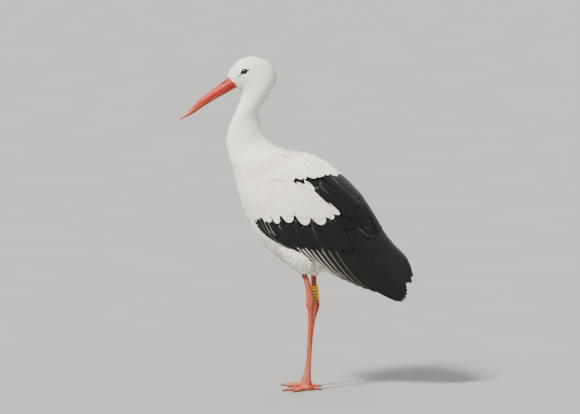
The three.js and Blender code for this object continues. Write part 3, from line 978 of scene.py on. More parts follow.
@dataclass(frozen=True)
class MottledSurface:
    """A plain solid whose colour and gloss vary with a fine grain: claws, bare skin, eye, ring."""

    name: str
    dark: str
    light: str
    grain: float
    roughness: float
    relief: float = 0.0002
    strength: float = 0.3
    ior: float = 1.5
    coat: float = 0.0

    def make(self) -> bpy.types.Material:
        """Builds the material."""
        recipe = Recipe(self.name)
        grain = recipe.noise(1 / (self.grain * MM), 4.0, 0.6)
        tint = recipe.ramp(grain, (0.32, self.dark), (0.68, self.light))
        rough = recipe.span(grain, 0.0, 1.0, max(0.02, self.roughness - 0.08), self.roughness + 0.08)
        return recipe.close(
            tint, rough, recipe.bump(grain, self.strength, self.relief), self.ior,
            Coat_Weight=self.coat, Coat_Roughness=0.05,
        )


class Palette:
    """Every finish of the bird, made once."""

    def __init__(self) -> None:
        """Builds the finishes."""
        self.white = DownPlume().make()
        # the coverts' cream feathers, with a deeper painted shade at each root and painted light at each tip
        self.cream = DownPlume(
            name="covert_feather_cream", shade="#CFC6B4", body="#EFEADF", bright="#F8F5EC",
            stain="#DBCBAA", stain_share=0.6,
        ).make()
        # the body's down: finer than the feathers over it and of the same white
        self.down = MottledSurface("down_white", "#DAD4C8", "#F1EEE6", 3.0, 0.88, 0.0004).make()
        self.dark = DarkPlume("flight_feather_black").make()
        self.brown = DarkPlume(
            "flight_feather_worn", deep="#050404", body="#0D0B09", gloss="#181411", rim="#15120F",
            roughness=0.52,
        ).make()
        self.horn = BillHorn().make()
        self.leg = LegSkin().make()
        # claws: keratin, grey-brown, scratched dull by the ground
        self.claw = MottledSurface("claw_keratin", "#3A2C26", "#6E5A4E", 1.4, 0.5, strength=0.4).make()
        # bare skin round the eye: black, finely wrinkled, slightly greasy; the same black stands in the
        # nostril as painted shade for its opening
        self.bare = MottledSurface(
            "bare_skin_and_nostril_shade_black", "#030303", "#090808", 0.8, 0.75, strength=0.5, ior=1.3,
        ).make()
        # the eye: wet cornea over a brown-black iris, so a hard small highlight
        self.eye = MottledSurface(
            "cornea_over_dark_iris", "#020202", "#080605", 2.5, 0.1, 0.00001, 0.02, 1.34, 0.6,
        ).make()
        # the ring: moulded plastic laminate, deep yellow, dulled by weather
        self.ring = MottledSurface(
            "ring_plastic_yellow", "#D9A60E", "#F2C81E", 5.0, 0.35, 0.0001, 0.1,
        ).make()
        self.ring_ink = MottledSurface("ring_digit_black", "#0C0C0C", "#1C1A18", 2.0, 0.5).make()
        # the floor: matt grey board
        self.floor = MottledSurface(
            "studio_floor_matt", "#828280", "#888886", 400.0, 0.9, 0.00001, 0.01,
        ).make()


# ---- Studio ----


@dataclass(frozen=True)
class Lamp:
    """A soft sun: the way it shines, its spread in degrees, its strength and its colour."""

    name: str
    aim: tuple[float, float, float]
    spread: float
    strength: float
    tint: str

    def build(self) -> None:
        """Makes the lamp."""
        lamp = bpy.data.lights.new(self.name, "SUN")
        lamp.angle = math.radians(self.spread)
        lamp.energy = self.strength
        lamp.color = colour(self.tint)[:3]
        holder = add_object(self.name, lamp)
        holder.location = Vector(self.aim) * -4
        holder.rotation_euler = Vector(self.aim).to_track_quat("-Z", "Y").to_euler()


@dataclass
class Studio:
    """The floor, the lights and the camera."""

    floor_reach: float = 60.0
    camera_distance: float = 12.0
    camera_rise: float = 5.0
    sensor: float = 36.0
    sight: Point = (0.5, 200.0)
    look_y: float = -19.0
    look_z: float = 502.5
    frame_width: float = 1595.0
    lamps: tuple[Lamp, ...] = (
        Lamp("key", (-0.46, 0.48, -0.75), 10.0, 9.8, "#FFFAF2"),
        Lamp("back", (0.55, -0.35, -0.76), 60.0, 1.4, "#EFF4FF"),
    )
    world: str = "#D8D7D5"
    world_strength: float = 1.2

    def build(self, palette: Palette) -> None:
        """Makes the floor, the world, the lights and the camera.

        Args:
            palette: the finishes.
        """
        shape = bmesh.new()
        bmesh.ops.create_grid(shape, x_segments=8, y_segments=8, size=self.floor_reach / MM)
        mesh = finish_mesh(shape, "floor")
        mesh.materials.append(palette.floor)
        floor = add_object("floor", mesh)
        world = bpy.data.worlds.new("studio")
        world.use_nodes = True
        backdrop = world.node_tree.nodes["Background"]
        backdrop.inputs["Color"].default_value = colour(self.world)
        backdrop.inputs["Strength"].default_value = self.world_strength
        bpy.context.scene.world = world
        for lamp in self.lamps:
            lamp.build()
        self._camera()

    def _camera(self) -> None:
        """Places the camera on the bird's left, a little above level."""
        eye = bpy.data.cameras.new("camera")
        holder = add_object("camera", eye)
        tilt = math.radians(self.camera_rise)
        target = Vector((0, self.look_y * MM, self.look_z * MM))
        back = Vector((math.cos(tilt), 0, math.sin(tilt)))
        holder.location = target + back * self.camera_distance
        holder.rotation_euler = (-back).to_track_quat("-Z", "Y").to_euler()
        eye.sensor_width = self.sensor
        eye.lens = self.sensor * self.camera_distance / (self.frame_width * MM)
        eye.clip_start, eye.clip_end = self.sight
        bpy.context.scene.camera = holder


# ---- The body's forms ----

BODY = stations(
    (-191, 864.5, -161, 828, 16.5, 2.1), (-183.5, 880, -156.5, 824, 19.6, 2.1),
    (-172, 894.6, -152, 820.5, 22.4, 2.1), (-152.6, 910, -149.5, 818.5, 24.3),
    (-128, 917, -149.5, 816, 25.2), (-101, 913, -150.5, 812, 25.8),
    (-79, 901.5, -152.5, 806.5, 26.2), (-63.5, 882, -155.5, 799.5, 26.6),
    (-58, 858, -159, 790, 26.8), (-65.5, 834, -163.5, 779, 27), (-79, 809, -168.5, 766, 27),
    (-97, 781, -176, 748.5, 27), (-106.4, 757, -184.5, 730, 28), (-102.5, 733, -190.5, 709.5, 30),
    (-92.5, 705, -194, 687, 34), (-76.5, 684, -192.5, 667, 39), (-54, 669, -188.5, 648, 47),
    (-20, 658, -181, 617, 61, 2.1), (15, 650, -172, 583, 74, 2.2), (52, 634, -161, 542, 83, 2.3),
    (86, 606, -145, 492, 88, 2.3), (110, 570, -121, 440, 88, 2.3), (124, 528, -90, 397, 83, 2.2),
    (133, 485, -50, 360, 74, 2.1), (141, 445, -5, 334, 61), (151, 410, 45, 326, 45),
    (165, 378, 95, 319, 31), (182, 352, 136, 305, 23),
)
TAIL = stations(
    (183, 350.5, 137, 303.5, 22), (205, 325, 170, 286, 26), (236, 294, 217, 271, 28),
    (262, 268, 252, 257, 27),
)
WINGS = stations(
    (-75, 670, -190, 640, 50), (-20, 661, -182, 612, 66, 2.1), (22, 652, -173, 578, 79, 2.2),
    (62, 637, -162, 537, 88, 2.3), (97, 614.5, -146, 488, 93, 2.3), (127, 589.5, -122, 436, 94, 2.3),
    (159.5, 558, -90, 392, 90, 2.2), (189, 523, -45, 352, 82, 2.2), (214, 482.5, 10, 315, 72, 2.1),
    (237, 443, 80, 270, 62), (269, 402, 150, 230, 52), (304, 364, 215, 205, 43),
    (326, 322, 272, 195, 36), (336, 285, 310, 205, 31),
)
THIGHS = {
    Side.LEFT: stations(
        (-66, 455, 62, 440, 26), (-57, 402, 62, 392, 26.5), (-36, 361, 54, 352, 24),
        (-10, 334, 41, 333, 17), (6, 321.5, 31, 322.5, 11.5),
    ),
    Side.RIGHT: stations(
        (-62, 455, 66, 440, 26), (-52, 402, 70, 390, 26.5), (-24, 359, 74, 347, 24),
        (12, 327, 68, 325, 17), (35, 311, 59, 312, 11.5),
    ),
}
THIGH_X = 44.0
WING_EDGE: tuple[Point, ...] = (
    (-22, 674), (-62, 644), (-112, 622), (-146, 602), (-124, 520), (-99, 465), (-81, 429),
    (-55, 415.5), (-18, 399), (19, 373), (63, 343), (92, 321), (129, 303), (159, 288), (199, 277),
    (228, 266), (269, 250), (320, 260), (330, 340), (330, 720), (-22, 720),
)
HEAD_END = 9.0
NECK_END = 16.0


def ends_of(form: Form, lines: Lines) -> tuple[Array, Array]:
    """The points on a form at the roots and at the tips of feathers' middle lines."""
    return tuple(form.point(lines[0][:, end], lines[1][:, end]) for end in (0, -1))


def within(outline: Sequence[Point], y: Array, z: Array, margin: float = 0.0) -> Array:
    """Which side-view points lie inside a closed outline, at least a margin from it.

    Args:
        outline: the outline's corners.
        y: the points' distances along the bird.
        z: their heights.
        margin: the least distance to the outline that counts.

    Returns:
        True for each point that is inside.
    """
    found = np.ones(np.shape(y), bool)
    turns = np.arange(8) * math.pi / 4 if margin else [0.0]
    for turn in turns:
        py, pz = y + margin * math.cos(turn), z + margin * math.sin(turn)
        odd = np.zeros(np.shape(y), bool)
        for (y0, z0), (y1, z1) in zip(outline, [*outline[1:], outline[0]]):
            if z0 == z1:
                continue
            crosses = (z0 > pz) != (z1 > pz)
            odd ^= crosses & (py < (y1 - y0) * (pz - z0) / (z1 - z0) + y0)
        found &= odd
    return found


def patch(form: Form, centre: Point, side: Side, radius: Callable[[Array], Array], low: float,
          high: float, dome: float, segments: int = 96, rings: int = 14) -> bmesh.types.BMesh:
    """A thin closed body lying on a form, with any outline that can be seen from its centre.

    Args:
        form: the form that it lies on.
        centre: the middle in side view.
        side: the side of the bird.
        radius: the outline's distance from the centre at angles from +Y towards +Z.
        low: height of its underside over the form.
        high: height of its rim.
        dome: how much higher its middle is than its rim.
        segments: faces round it.
        rings: faces from its top to its underside.

    Returns:
        The body in millimetres.
    """
    shape = bmesh.new()
    bmesh.ops.create_uvsphere(shape, u_segments=segments, v_segments=rings, radius=1.0)
    ball = places_of(shape)
    out = np.hypot(ball[:, 0], ball[:, 1])
    turn = np.arctan2(ball[:, 1], ball[:, 0])
    reach = radius(turn) * out
    y, z = centre[0] + reach * np.cos(turn), centre[1] + reach * np.sin(turn)
    along, around = form.locate(y, z, side)
    top = high + dome * (1 - out**2)
    share = 0.5 + 0.5 * np.sign(ball[:, 2]) * np.abs(ball[:, 2]) ** 0.7
    height = low + (top - low) * share
    return move_to(shape, form.point(along, around, height))


@dataclass
class BodySkin:
    """The bare body under the feathers: head, neck, trunk, tail root and thighs in one skin."""

    head_depth: float = 1.2
    neck_depth: float = 2.4
    trunk_depth: float = 3.6
    thigh_depth: float = 3.0
    voxel: float = 2.6
    form: Form = field(default_factory=lambda: Form(BODY))

    def depth(self, along: Array, around: Array) -> Array:
        """How far the skin lies under the outside of the plumage, as a height below nought."""
        known = (HEAD_END - 1, HEAD_END + 2, NECK_END - 2, NECK_END + 2)
        depths = (self.head_depth, self.neck_depth, self.neck_depth, self.trunk_depth)
        return -np.interp(along, known, depths) + 0 * around

    def build(self, palette: Palette) -> None:
        """Makes the skin.

        Args:
            palette: the finishes.
        """
        shapes = [tube(self.form, 0.15, self.form.last - 0.2, 150, 64, self.depth)]
        for side, rows in THIGHS.items():
            thigh = Form(rows, side.value * THIGH_X)
            shapes.append(tube(thigh, 0.1, thigh.last - 0.15, 30, 40, -self.thigh_depth))
        tail = Form(TAIL)
        shapes.append(tube(tail, 0, 1.2, 10, 40, -self.trunk_depth))
        mesh = fuse(shapes, "body_skin", self.voxel, 3)
        as_piece("body_skin", mesh, palette.down,
                 ["head", "neck_upper", "neck_lower", "trunk", "tail", "thigh_l", "thigh_r"])


@dataclass
class Face:
    """What the head's feathers leave bare: the bill, the eyes with their lids, and black skin."""

    body: Form
    eye_radius: float = 8.2
    eye_place: tuple[float, float, float] = (16.9, -143.5, 877.0)
    cornea_radius: float = 4.6
    cornea_bulge: float = 0.35
    lid_opening: float = 5.6
    lid_thickness: float = 0.9
    lid_tilt: float = 28.0
    # the skin round the eye: its least reach, then each point's reach beyond it, angle and spread
    bare_reach: float = 8.7
    bare_points: tuple[tuple[float, float, float], ...] = (
        (8.9, 20, 13), (5.5, 212, 24), (22.5, 221, 4.5),
    )
    nostril_place: Point = (-199.8, 845.6)
    nostril_half: Point = (16.0, 1.25)
    nostril_slope: float = 32.0
    bill_rows: tuple[Station, ...] = stations(
        (-162, 867, -150, 831, 17.6), (-178, 862, -157.5, 830.5, 17.7),
        (-190, 857.5, -163.5, 831.5, 14.6), (-212, 841.5, -197.5, 814, 12.2),
        (-238, 822, -228, 797, 10), (-266, 800, -260, 777, 7.6), (-292, 775, -288, 758, 5),
        (-313, 754.5, -311, 746.8, 2.9), (-324.4, 744.4, -323.6, 742.6, 1.1),
    )
    bill_start: float = -150.0
    bill_length: float = 175.0
    half_gap: float = 0.25
    groove_depth: float = 0.085
    tomium: tuple[Point, ...] = (
        (-330, 741), (-278, 772.8), (-247, 790.5), (-200, 820), (-180, 838), (-166, 849.5),
        (-150, 857),
    )
    # where the feathers begin behind the bill, as (height, distance along the bird)
    feather_line: tuple[Point, ...] = (
        (822, -400), (825, -157.5), (830, -162.5), (838, -169), (843, -171), (846, -176),
        (849, -181), (851, -184), (858, -191.5), (866, -196), (920, -210),
    )

    def _bare_outline(self, turn: Array) -> Array:
        """Outline of the black skin round the eye: pointed behind, drawn out to the gape in front."""
        found = np.full(np.shape(turn), self.bare_reach)
        for reach, at, spread in self.bare_points:
            off = (np.degrees(turn) % 360 - at + 180) % 360 - 180
            found = found + reach * np.exp(-((off / spread) ** 2))
        return found

    def _nostril_outline(self, turn: Array) -> Array:
        """Outline of a nostril: a narrow slit along the bill's slope."""
        off = turn - math.radians(self.nostril_slope)
        length, height = self.nostril_half
        return 1 / np.sqrt((np.cos(off) / length) ** 2 + (np.sin(off) / height) ** 2)

    def is_bare(self, y: Array, z: Array, share: float = 1.0) -> Array:
        """Which side-view points lie on the black skin, or before the line where feathers begin."""
        dy, dz = y - self.eye_place[1], z - self.eye_place[2]
        near = np.hypot(dy, dz) < self._bare_outline(np.arctan2(dz, dy)) * share
        return near | (y < np.interp(z, *zip(*self.feather_line)))

    def build(self, palette: Palette) -> None:
        """Makes the bill, the black skin, the eyes and the lids.

        Args:
            palette: the finishes.
        """
        form = Form(self.bill_rows)
        self._half(form, "upper", palette)
        self._half(form, "lower", palette)
        for side in Side:
            skin = patch(self.body, self.eye_place[1:], side, self._bare_outline, -3.0, -0.9, 0.5)
            # the nostril: a black body set into the bill, painted shade standing for the dark opening
            slit = patch(form, self.nostril_place, side, self._nostril_outline, -1.6, 0.45, 0.0, 48, 8)
            for title, shape, finish, slot, nodes in (
                ("bare_skin", skin, palette.bare, "eyes", ()),
                ("nostril", slit, palette.bare, "bill", ()),
                ("eyeball", self._eyeball(side), palette.eye, "eyes", (f"eye_{side.letter}",)),
                ("eyelids", self._lids(side), palette.bare, "eyes", ()),
            ):
                name = f"{title}_{side.letter}"
                as_piece(name, finish_mesh(shape, name), finish, nodes)

    def _half(self, form: Form, which: str, palette: Palette) -> None:
        """Makes one half of the bill: round outside, flat where the halves meet."""
        upper = which == "upper"
        sign = 1 if upper else -1
        shape = bmesh.new()
        bmesh.ops.create_grid(shape, x_segments=64, y_segments=110, size=0.5)
        grid = places_of(shape)
        along, part = (grid[:, 1] + 0.5) * form.last, grid[:, 0] + 0.5
        lead, trail, size = (curve.at(along) for curve in (form.lead, form.trail, form.size))
        middle, axis = (lead + trail) / 2, lead - trail
        depth = np.linalg.norm(axis, axis=1) / 2
        unit = axis / (2 * depth[:, None])
        # the level on each section, from -1 to 1, at which it crosses the cutting edges
        level = np.zeros(len(along))
        for _round in range(12):
            at = middle + unit * (level * depth)[:, None]
            off = np.interp(at[:, 0], *zip(*self.tomium)) - at[:, 1]
            level = np.clip(level + 0.6 * off / (depth * unit[:, 1] + 1e-6), -0.9, 0.9)
        level = np.clip(level + sign * (self.half_gap / depth), -0.95, 0.95)
        limit = np.arccos(level) if upper else math.pi - np.arccos(level)
        # three quarters of each ring are the round outside, the last quarter is the flat
        arc = np.clip(part / 0.75, 0, 1) * 2 - 1
        flat = np.clip((part - 0.75) / 0.25, 0, 1)
        turn = arc * limit if upper else math.pi + arc * limit
        power = 2 / size[:, 1]
        out = np.sign(np.sin(turn)) * np.abs(np.sin(turn)) ** power * size[:, 0]
        rise = np.sign(np.cos(turn)) * np.abs(np.cos(turn)) ** power
        across = np.abs(np.sin(limit)) ** power * size[:, 0] * (1 - 2 * flat) * sign
        out = np.where(part > 0.75, across, out)
        rise = np.where(part > 0.75, level, rise)
        # a shallow groove runs forward from the nostril, and another low on the lower half
        if upper:
            groove = np.exp(-(((rise - 0.47) / 0.13) ** 2))
            groove *= np.interp(along, (1.6, 2.2, 4.5, 6.5), (0, 1, 0.5, 0))
        else:
            groove = np.exp(-(((rise + 0.62) / 0.12) ** 2)) * np.interp(along, (1.8, 2.6, 6), (0, 0.8, 0))
        out = np.where(part > 0.75, out, out * (1 - self.groove_depth * groove))
        move_to(shape, np.column_stack([out, middle + unit * (rise * depth)[:, None]]))
        bmesh.ops.remove_doubles(shape, verts=shape.verts, dist=2e-3)
        bmesh.ops.holes_fill(shape, edges=[e for e in shape.edges if e.is_boundary], sides=90)
        bmesh.ops.triangulate(shape, faces=[f for f in shape.faces if len(f.verts) > 4])
        name = f"horn_{which}"
        mesh = finish_mesh(shape, name)
        self._paint(mesh)
        as_piece(name, mesh, palette.horn, [f"bill_{which}"])

    def _paint(self, mesh: bpy.types.Mesh) -> None:
        """Writes how far along the bill each point is, and how near to the cutting edges."""
        _x, y, z = vectors_of(mesh, "co").T / MM
        run = np.clip((self.bill_start - y) / self.bill_length, 0, 1)
        above = z - np.interp(y, *zip(*self.tomium))
        rim = np.exp(-(((above - 1.2) / 1.1) ** 2))
        rim *= np.interp(run, (0.2, 0.35, 0.85, 1), (0, 0.75, 0.75, 0.2))
        write_values(mesh, "run", run)
        write_values(mesh, "rim", rim)

    def _eyeball(self, side: Side) -> bmesh.types.BMesh:
        """One eyeball with its bulging cornea."""
        x, y, z = self.eye_place
        ball = bmesh.new()
        bmesh.ops.create_uvsphere(ball, u_segments=48, v_segments=32, radius=self.eye_radius)
        for vert in ball.verts:
            off = math.hypot(vert.co.x, vert.co.y) / self.cornea_radius
            if vert.co.z > 0 and off < 1:
                vert.co.z += self.cornea_bulge * (1 - off**2)
        turn = Matrix.Rotation(math.radians(90), 4, "Y")
        flip = Matrix.Scale(side.value, 4, (1, 0, 0))
        place = Matrix.Translation((x * side.value, y, z))
        bmesh.ops.transform(ball, matrix=place @ flip @ turn, verts=ball.verts)
        return ball

    def _lids(self, side: Side) -> bmesh.types.BMesh:
        """The two lids of one eye, as one almond rim."""
        x, y, z = self.eye_place
        lid = bmesh.new()
        bmesh.ops.create_grid(lid, x_segments=72, y_segments=12, size=0.5)
        tilt = math.radians(self.lid_tilt)
        for vert in lid.verts:
            around = (vert.co.x + 0.5) * 2 * math.pi
            loop = (vert.co.y + 0.5) * 2 * math.pi
            reach = self.lid_opening * (1 + 0.16 * math.cos(2 * (around - tilt)))
            reach += 1.5 - 1.5 * math.cos(loop)
            over = self.eye_radius + 0.15 + self.lid_thickness * (0.5 + 0.5 * math.sin(loop))
            lift = math.sqrt(max(over**2 - reach**2, 0.4))
            out = (x + lift) * side.value
            vert.co = (out, y + reach * math.cos(around), z + reach * math.sin(around))
        bmesh.ops.remove_doubles(lid, verts=lid.verts, dist=1e-3)
        return lid


# ---- Plumage of the body ----


@dataclass
class BodyCoat:
    """The white feathers of the head, neck, trunk, thighs and tail."""

    body: Form
    face: Face

    def build(self, palette: Palette) -> None:
        """Makes every coat piece of the body.

        Args:
            palette: the finishes.
        """
        thighs = [self._thigh(side) for side in THIGHS]
        for coat in (self._head(), self._neck(), self._trunk(), *thighs, self._tail()):
            as_piece(coat.name, coat.mesh(coat.name), palette.white)

    def _clear_of_face(self, lines: Lines) -> Array:
        """Which feathers neither start on the bare face nor reach into it."""
        root, tip = ends_of(self.body, lines)
        bare = self.face.is_bare(root[:, 1], root[:, 2])
        return ~bare & ~self.face.is_bare(tip[:, 1], tip[:, 2], 0.93)

    def _head(self) -> Coat:
        """Short, close feathers, smallest round the bill and the eyes."""
        coat = Coat("coat_head", Vane(3, 4, Outline.LANCE), 11, 0.8)
        u, a = self.body.scatter(coat.rng, 1.9, 1.55, 0.0, HEAD_END + 0.3)
        size = coat.rng.uniform(0.85, 1.2, len(u))
        length = np.interp(u, (0, 2, 5, 9), (4.2, 5.4, 8.0, 11.5)) * size
        lines = coat.trace(self.body, u, a, length, self.body.lie())
        keep = self._clear_of_face(lines)
        lines, u = (lines[0][keep], lines[1][keep]), u[keep]
        width = np.interp(u, (0, 3, 9), (1.8, 2.4, 3.3))
        coat.grow(self.body, lines, width, Lay(-1.2, -0.1, 0.16, 0.0, ragged=0.04))
        self._hackles(coat, ((7.0, 8.9, 44), (5.2, 7.0, 16)))
        return coat

    def _hackles(self, coat: Coat, groups: Sequence[tuple[float, float, int]]) -> None:
        """Adds loose feathers that stand off the nape, in groups by place along and count."""
        for low, high, count in groups:
            u = coat.rng.uniform(low, high, count)
            a = coat.rng.normal(0, 0.025, count) % 1.0
            lines = coat.trace(self.body, u, a, coat.rng.uniform(10, 17, count), self.body.lie())
            coat.grow(self.body, lines, 2.6, Lay(-1.0, 3.2, 0.5, 0.0, ragged=1.2, rise=2.2))
            few = tuple(line[: count // 5] for line in lines)
            coat.grow(self.body, few, 4.0, Lay(-0.5, 7.0, 0.9, 0.0, ragged=1.4, rise=2.6))

    def _neck(self) -> Coat:
        """Narrow, hair-like feathers, with loose ends down the nape."""
        coat = Coat("coat_neck", Vane(4, 4, Outline.LANCE), 12, 0.65)
        u, a = self.body.scatter(coat.rng, 3.5, 2.2, HEAD_END - 0.5, NECK_END + 0.6)
        length = coat.rng.uniform(17, 25, len(u))
        sway = coat.rng.normal(0, 0.04, len(u))[:, None]
        lines = coat.trace(self.body, u, a, length, self.body.lie(sway))
        coat.grow(self.body, lines, 3.3, Lay(-1.7, -0.1, 0.2, 0.0, ragged=0.08))
        self._hackles(coat, ((9.4, 10.1, 16), (12.0, 13.5, 34), (13.5, 15.2, 16)))
        return coat

    def _trunk(self) -> Coat:
        """Shaggy breast and flank feathers, left out where the folded wings cover them."""
        coat = Coat("coat_trunk", Vane(4, 4, Outline.LANCE), 13, 0.5)
        u, a = self.body.scatter(coat.rng, 4.6, 3.3, NECK_END - 0.6, self.body.last - 0.3)
        root = self.body.point(u, a)
        shown = ~within(WING_EDGE, root[:, 1], root[:, 2], 16.0)
        u, a = u[shown], a[shown]
        size = coat.rng.uniform(0.8, 1.2, len(u))
        length = np.interp(u, (15, 18, 22, 27), (24, 36, 42, 34)) * size
        sway = coat.rng.normal(0, 0.06, len(u))[:, None]
        lines = coat.trace(self.body, u, a, length, self.body.lie(sway))
        width = np.interp(u, (15, 19, 27), (4.4, 6.6, 8.5)) * size
        coat.grow(self.body, lines, width, Lay(-2.8, -0.2, 0.3, 0.0, ragged=0.18, rise=0.8))
        # a few loose ends hang behind the legs
        u, a = np.linspace(24.1, 24.9, 6), np.array([0.42, 0.5, 0.57, 0.46, 0.54, 0.5])
        lines = coat.trace(self.body, u, a, np.linspace(22, 34, 6), self.body.lie())
        coat.grow(self.body, lines, 8.0, Lay(-2.0, 8.0, 0.5, 0.0, ragged=1.5, rise=2.0))
        return coat

    def _thigh(self, side: Side) -> Coat:
        """Loose feathers that end in a ragged trouser over the shank, clear of the wing."""
        rows = THIGHS[side]
        last = rows[-1]
        hem = Station((last.lead[0] + 7, 306), (last.trail[0] - 2, 308), 8.5)
        form = Form((*rows, hem), side.value * THIGH_X)
        coat = Coat(f"coat_thigh_{side.letter}", Vane(4, 4, Outline.LANCE), 14 + side.value, 0.5)
        u, a = form.scatter(coat.rng, 4.0, 3.1, 0.0, form.last - 1.2)
        size = coat.rng.uniform(0.75, 1.25, len(u))
        sway = coat.rng.normal(0, 0.12, len(u))[:, None]
        lines = coat.trace(form, u, a, 31 * size, form.lie(sway))
        root, tip = ends_of(form, lines)
        keep = ~within(WING_EDGE, root[:, 1], root[:, 2]) & ~within(WING_EDGE, tip[:, 1], tip[:, 2])
        keep &= tip[:, 2] > last.lead[1] - 6 + 9 * coat.rng.random(len(u))
        lines, u = (lines[0][keep], lines[1][keep]), u[keep]
        width = np.interp(u, (0, form.last), (7.0, 3.8))
        coat.grow(form, lines, width, Lay(-2.6, -0.1, 0.35, 0.0, ragged=0.3, rise=0.9))
        return coat

    def _tail(self) -> Coat:
        """Twelve short white tail feathers, with their coverts over and under."""
        form = Form(TAIL)
        coat = Coat("coat_tail", Vane(10, 8, Outline.BLUNT), 17, 0.4)
        each = 6
        spread = np.linspace(-0.19, 0.19, each)
        for middle, lift in ((0.0, -1.2), (0.5, -2.0)):
            a = middle + spread
            start = (np.zeros(each), a * 0.9 + middle * 0.1)
            lines = coat.route(start, (2.96 - 9 * spread**2, a))
            coat.grow(form, lines, 22.0, Lay(-3.0, -0.5, 0.8, 0.03), lift=lift + 0.2 * np.arange(each))
        u, a = form.scatter(coat.rng, 9.0, 8.0, 0.0, 1.6)
        lines = coat.trace(form, u, a, coat.rng.uniform(24, 38, len(u)), form.lie())
        coat.grow(form, lines, 12.0, Lay(-4.0, 0.0, 0.6, 0.05, ragged=0.4))
        return coat


# ---- Wings ----


@dataclass(frozen=True)
class Tier:
    """A row of large feathers by their side view; each field's values spread evenly over the row.

    The fields are the tips' places, their slopes below level, lengths, widths, lifts, marks and tones. On
    dark feathers a mark paints the outer edge pale, as real silvering on the secondaries and as a painted
    highlight on the scapulars and greater coverts, and a tone runs towards a painted sheen. A cycle, where
    there is one, repeats along the row in place of the spread marks.
    """

    count: int
    y: tuple[float, ...]
    z: tuple[float, ...]
    slope: tuple[float, ...]
    length: tuple[float, ...]
    width: tuple[float, ...]
    lift: tuple[float, ...]
    lay: Lay
    bow: float = 0.0
    mark: tuple[float, ...] = (0.0,)
    cycle: tuple[float, ...] = ()
    tone: tuple[float, ...] = (0.05,)

    def spread(self, values: Sequence[float]) -> Array:
        """One value for each feather of the row."""
        return np.interp(np.linspace(0, 1, self.count), np.linspace(0, 1, len(values)), values)


BED = Lay(-2.0, -0.5, 0.8, 0.0, ragged=0)
SCAPULAR = Lay(-2.5, 0.0, 0.8, 0.03, ragged=0)
FLIGHT_TIERS = (
    # the bed of quills hidden under the others
    Tier(16, (0, 120, 225, 285), (392, 312, 282, 262), (52, 52, 50, 46), (170, 230, 260, 250),
         (46, 50, 46, 40), (-6.5, -6.0), Lay(-2.5, -0.5, 0.8, 0.0, ragged=0), tone=(0.1,)),
    # secondaries, whose pale outer edges show as stripes
    Tier(14, (-6, 40, 92, 129, 180, 240), (393, 360, 324, 306, 284, 264), (42, 46, 50, 53, 54, 55),
         (130, 170, 190, 200, 210), (24, 26, 28, 28), (-0.8, -1.8, -2.4),
         Lay(-2.0, 0.0, 0.5, 0.0, roll=0.075, ragged=0), 0.004,
         mark=(0.1, 0.35, 0.9, 1.0, 0.9, 0.6, 0.3, 0.1, 0.0), tone=(0.2, 0.45)),
    # primaries
    Tier(11, (247, 262, 276, 290, 300, 305, 303), (258, 250, 244, 243, 250, 266, 284),
         (57, 57, 57, 57, 56, 54), (250, 260, 270), (24, 22), (-4.6, -2.4),
         Lay(-2.0, 0.0, 0.5, 0.0, roll=0.05, ragged=0), 0.004, tone=(0.15, 0.5)),
    # tertials over the primaries' tips
    Tier(5, (306, 316, 320, 316, 308), (296, 296, 312, 330, 352), (55, 53, 52, 52, 50),
         (190, 180, 170), (34, 38, 36), (-2.4, -1.0), Lay(-2.0, 0.0, 0.8, 0.02, ragged=0), 0.004,
         tone=(0.45, 0.7)),
)
DARK_BEDS = (
    Tier(14, (-50, 40, 130, 220), (440, 440, 450, 450), (60, 58, 50, 45), (90, 110), (44,),
         (-3.6,), BED),
    Tier(9, (0, 150), (560, 545), (32,), (120,), (48,), (-3.0,), BED),
)
DARK_TIERS = (
    # greater coverts; the cycle paints a thin highlight along the outer edge of every other feather
    Tier(16, (-70, -45, -18, 40, 110, 150), (425, 410, 400, 393, 390, 389),
         (46, 50, 56, 62, 63, 62), (80, 92, 100), (22, 24, 26), (-2.2, -0.4, -0.2, -0.4),
         Lay(-2.5, -0.2, 0.7, 0.03, ragged=0), 0.003, cycle=(0.0, 0.035, 0.0, 0.07),
         tone=(0.4, 0.9, 0.7)),
    # the long scapulars, from the lowest tier to the one that covers it; their marks and cycles paint thin
    # highlights along some feathers' outer edges
    Tier(6, (205, 222, 238, 248, 240, 215), (430, 424, 420, 428, 446, 474),
         (50, 50, 49, 47, 45, 42), (150,), (36, 38), (-2.2, -1.2), SCAPULAR, 0.003,
         mark=(0.08, 0.03), tone=(0.3, 0.6)),
    Tier(6, (185, 208, 234, 232, 214, 190), (452, 446, 440, 456, 480, 512),
         (46, 45, 44, 44, 44, 42), (150, 160), (32, 36), (-1.4, -0.4), SCAPULAR, 0.003,
         cycle=(0.0, 0.07), tone=(0.25, 0.7)),
    Tier(7, (120, 151, 160, 170, 168, 160, 150), (492, 481, 492, 510, 532, 550, 566),
         (40, 41, 42, 42, 42, 40, 38), (130, 140), (30, 34), (-0.9, 0.2), SCAPULAR, 0.003,
         cycle=(0.08, 0.0), tone=(0.3, 0.75)),
)
COVERT_BED = Tier(12, (-92, -30, 30, 84), (486, 486, 488, 500), (72, 62, 52, 44), (70,), (38,),
                  (-2.6,), Lay(-1.0, -0.5, 0.6, 0.0, ragged=0), tone=(0.5,))


